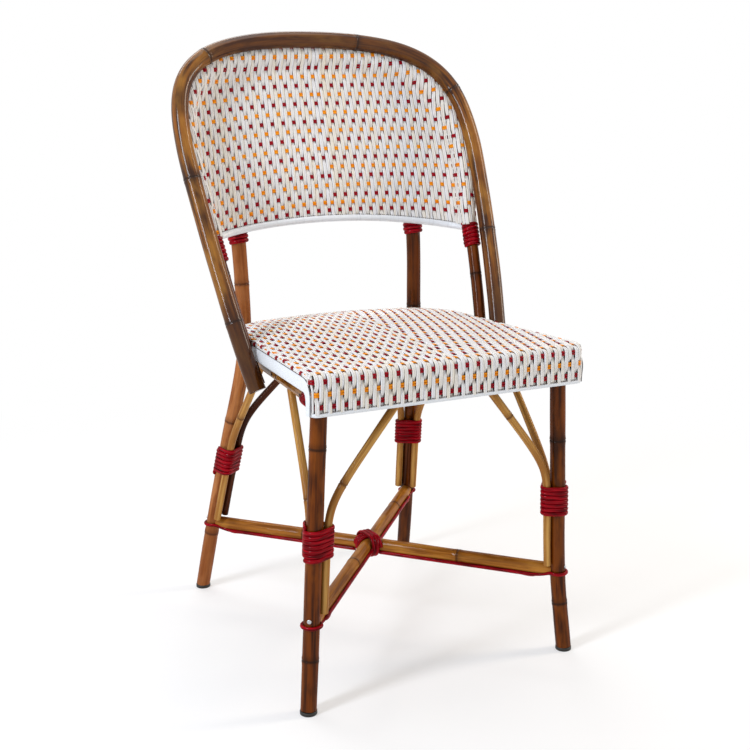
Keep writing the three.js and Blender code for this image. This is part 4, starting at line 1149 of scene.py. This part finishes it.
# Apron binding: a narrow white strip that closes the drop front's lower edge and turns its corners.
# It is bound like the back's bottom rail, and a stitched line runs along its top.
binding_y = seat_front - 0.4
binding_z = apron_low + 0.5
binding_end = np.array([(front_half - 1, seat_front + 7, binding_z), (front_half - 6, binding_y, binding_z)])
binding_path = even(np.vstack([binding_end * (-1, 1, 1), binding_end[::-1]]), 4)
part = sweep(binding_path, 2.6, 2.3, (0, -1.0, 0), 14)
piece("apron_binding", [part], white_binding, crease=60)
line = np.array([(side * (front_half - 8), binding_y - 1.6, binding_z + 3.6) for side in (-1, 1)])
stitches(line, np.array((0, -1.0, 0)), 3.3, 2.1, 0.55, "apron_stitches")

# Small fasteners: a plated screw through each leg into the stretcher's end, and dark nails that
# pin the braces and the hoop's feet to the side rails.
screw_radius = 3.1
screw_high = 2.2
nail_radius = 2.0
nail_high = 1.4
edge_share = 0.42
# Bright metal: each screw shows as a small pale dot on the leg.
steel, tree = begin("plated_steel_screw")
surface(tree, colour("#b9bcc0"), 0.28, speckle(tree, 800), 0.00005, 0.3, Metallic=1.0)
for key in leg_paths:
    axis = axis_at(key, stretcher_z + 6.5)
    outward = unit((axis - crossing) * (1, 1, 0))
    place = axis + outward * (leg_radius + 0.5)
    name = "screw_" + "_".join(key)
    cap(name, place, outward, screw_radius, screw_high, screw_high * edge_share, 24, steel)
# Dull dark iron, barely lighter than the shade under the seat.
nail_material, tree = begin("dark_iron_nail")
surface(tree, colour("#3a2c22"), 0.4, speckle(tree, 900), 0.00005, 0.3, Metallic=1.0)
for word, sign in (("left", -1), ("right", 1)):
    for label, distance in (("front", 44), ("middle", 168)):
        place = at(rail_paths[word], [distance])[0] + (sign * (side_rail_radius + 0.1), 0, 0)
        name = f"nail_{label}_{word}"
        cap(name, place, (sign, 0, 0), nail_radius, nail_high, nail_high * edge_share, 24, nail_material)

# Floor: a large pale sheet that only keeps the chair's soft shadow.
# It is matt near the chair and turns to plain white farther out, so that no edge of it shows.
floor_material, tree = begin("pale_studio_floor")
object_place = add(tree, "TexCoord").outputs["Object"]
spot = add(tree, "VectorMath", {0: object_place}, operation="LENGTH").outputs["Value"]
lit = add(tree, "BsdfDiffuse", {"Color": colour("#fcfcfc")})
bright = add(tree, "Emission", {"Color": (1, 1, 1, 1), "Strength": 1.0})
far = spread(tree, spot, 0.55, 1.5)
far = add(tree, "MapRange", {"Value": far, "To Min": 0.4}).outputs["Result"]
mixed = add(tree, "MixShader", {0: far, 1: lit.outputs["BSDF"], 2: bright.outputs["Emission"]})
add(tree, "OutputMaterial", {"Surface": mixed.outputs["Shader"]})
bpy.ops.mesh.primitive_plane_add(size=60, location=(0, 0, 0))
floor = bpy.context.object
floor.name = "floor"
floor.data.materials.append(floor_material)

# Studio: the background is white to the camera and to reflections, and dimmer as a light.
# Two tall soft boxes stand at the sides, and two wide ones hang above and behind.
world = bpy.context.scene.world or bpy.data.worlds.new("studio")
bpy.context.scene.world = world
world.use_nodes = True
tree = world.node_tree
tree.nodes.clear()
rays = add(tree, "LightPath")
seen = rays.outputs["Is Camera Ray"]
for kind in ("Is Glossy Ray", "Is Transmission Ray"):
    seen = add(tree, "Math", {0: seen, 1: rays.outputs[kind]}, operation="MAXIMUM").outputs[0]
strength = add(tree, "MapRange", {"Value": seen, "To Min": 0.45, "To Max": 1.0}).outputs["Result"]
background = add(tree, "Background", {"Color": (1, 1, 1, 1), "Strength": strength})
add(tree, "OutputWorld", {"Surface": background.outputs["Background"]})


def lamp(name, place, aim, size, power, tint="#ffffff"):
    """A soft box that looks at a point of the chair."""
    data = bpy.data.lights.new(name, "AREA")
    data.shape = "RECTANGLE"
    data.size = size[0]
    data.size_y = size[1]
    data.energy = power
    data.color = colour(tint)[:3]
    made = bpy.data.objects.new(name, data)
    bpy.context.scene.collection.objects.link(made)
    made.location = place
    made.rotation_euler = (Vector(aim) - Vector(place)).to_track_quat("-Z", "Y").to_euler()


lamp("left_box", (-2.2, -0.6, 1.8), (0, 0, 0.5), (0.4, 1.8), 44, "#eef4ff")
lamp("right_box", (2.2, -0.6, 1.5), (0, 0, 0.5), (0.5, 1.8), 28, "#ffefdb")
lamp("top_box", (0.2, 0.3, 2.7), (0, 0.1, 0.4), (1.8, 1.0), 12)
lamp("rear_box", (0.0, 1.5, 2.1), (0, 0.1, 0.8), (2.0, 0.4), 14)

# Camera: the photograph's view, from the front left at about the height of the back.
# Its place, lens and shifts were solved from the chair's own outline.
camera_data = bpy.data.cameras.new("photo_view")
camera_data.lens = 56.68
camera_data.sensor_width = 36
camera_data.shift_x = 0.0065
camera_data.shift_y = 0.0014
camera = bpy.data.objects.new("photo_view", camera_data)
bpy.context.scene.collection.objects.link(camera)
camera.location = (-0.7786, -1.51745, 0.7901)
aim = Vector((-0.00103, -0.00639, 0.3878)) - camera.location
camera.rotation_euler = aim.to_track_quat("-Z", "Y").to_euler()
bpy.context.scene.camera = camera
bpy.context.scene.view_settings.view_transform = "Standard"
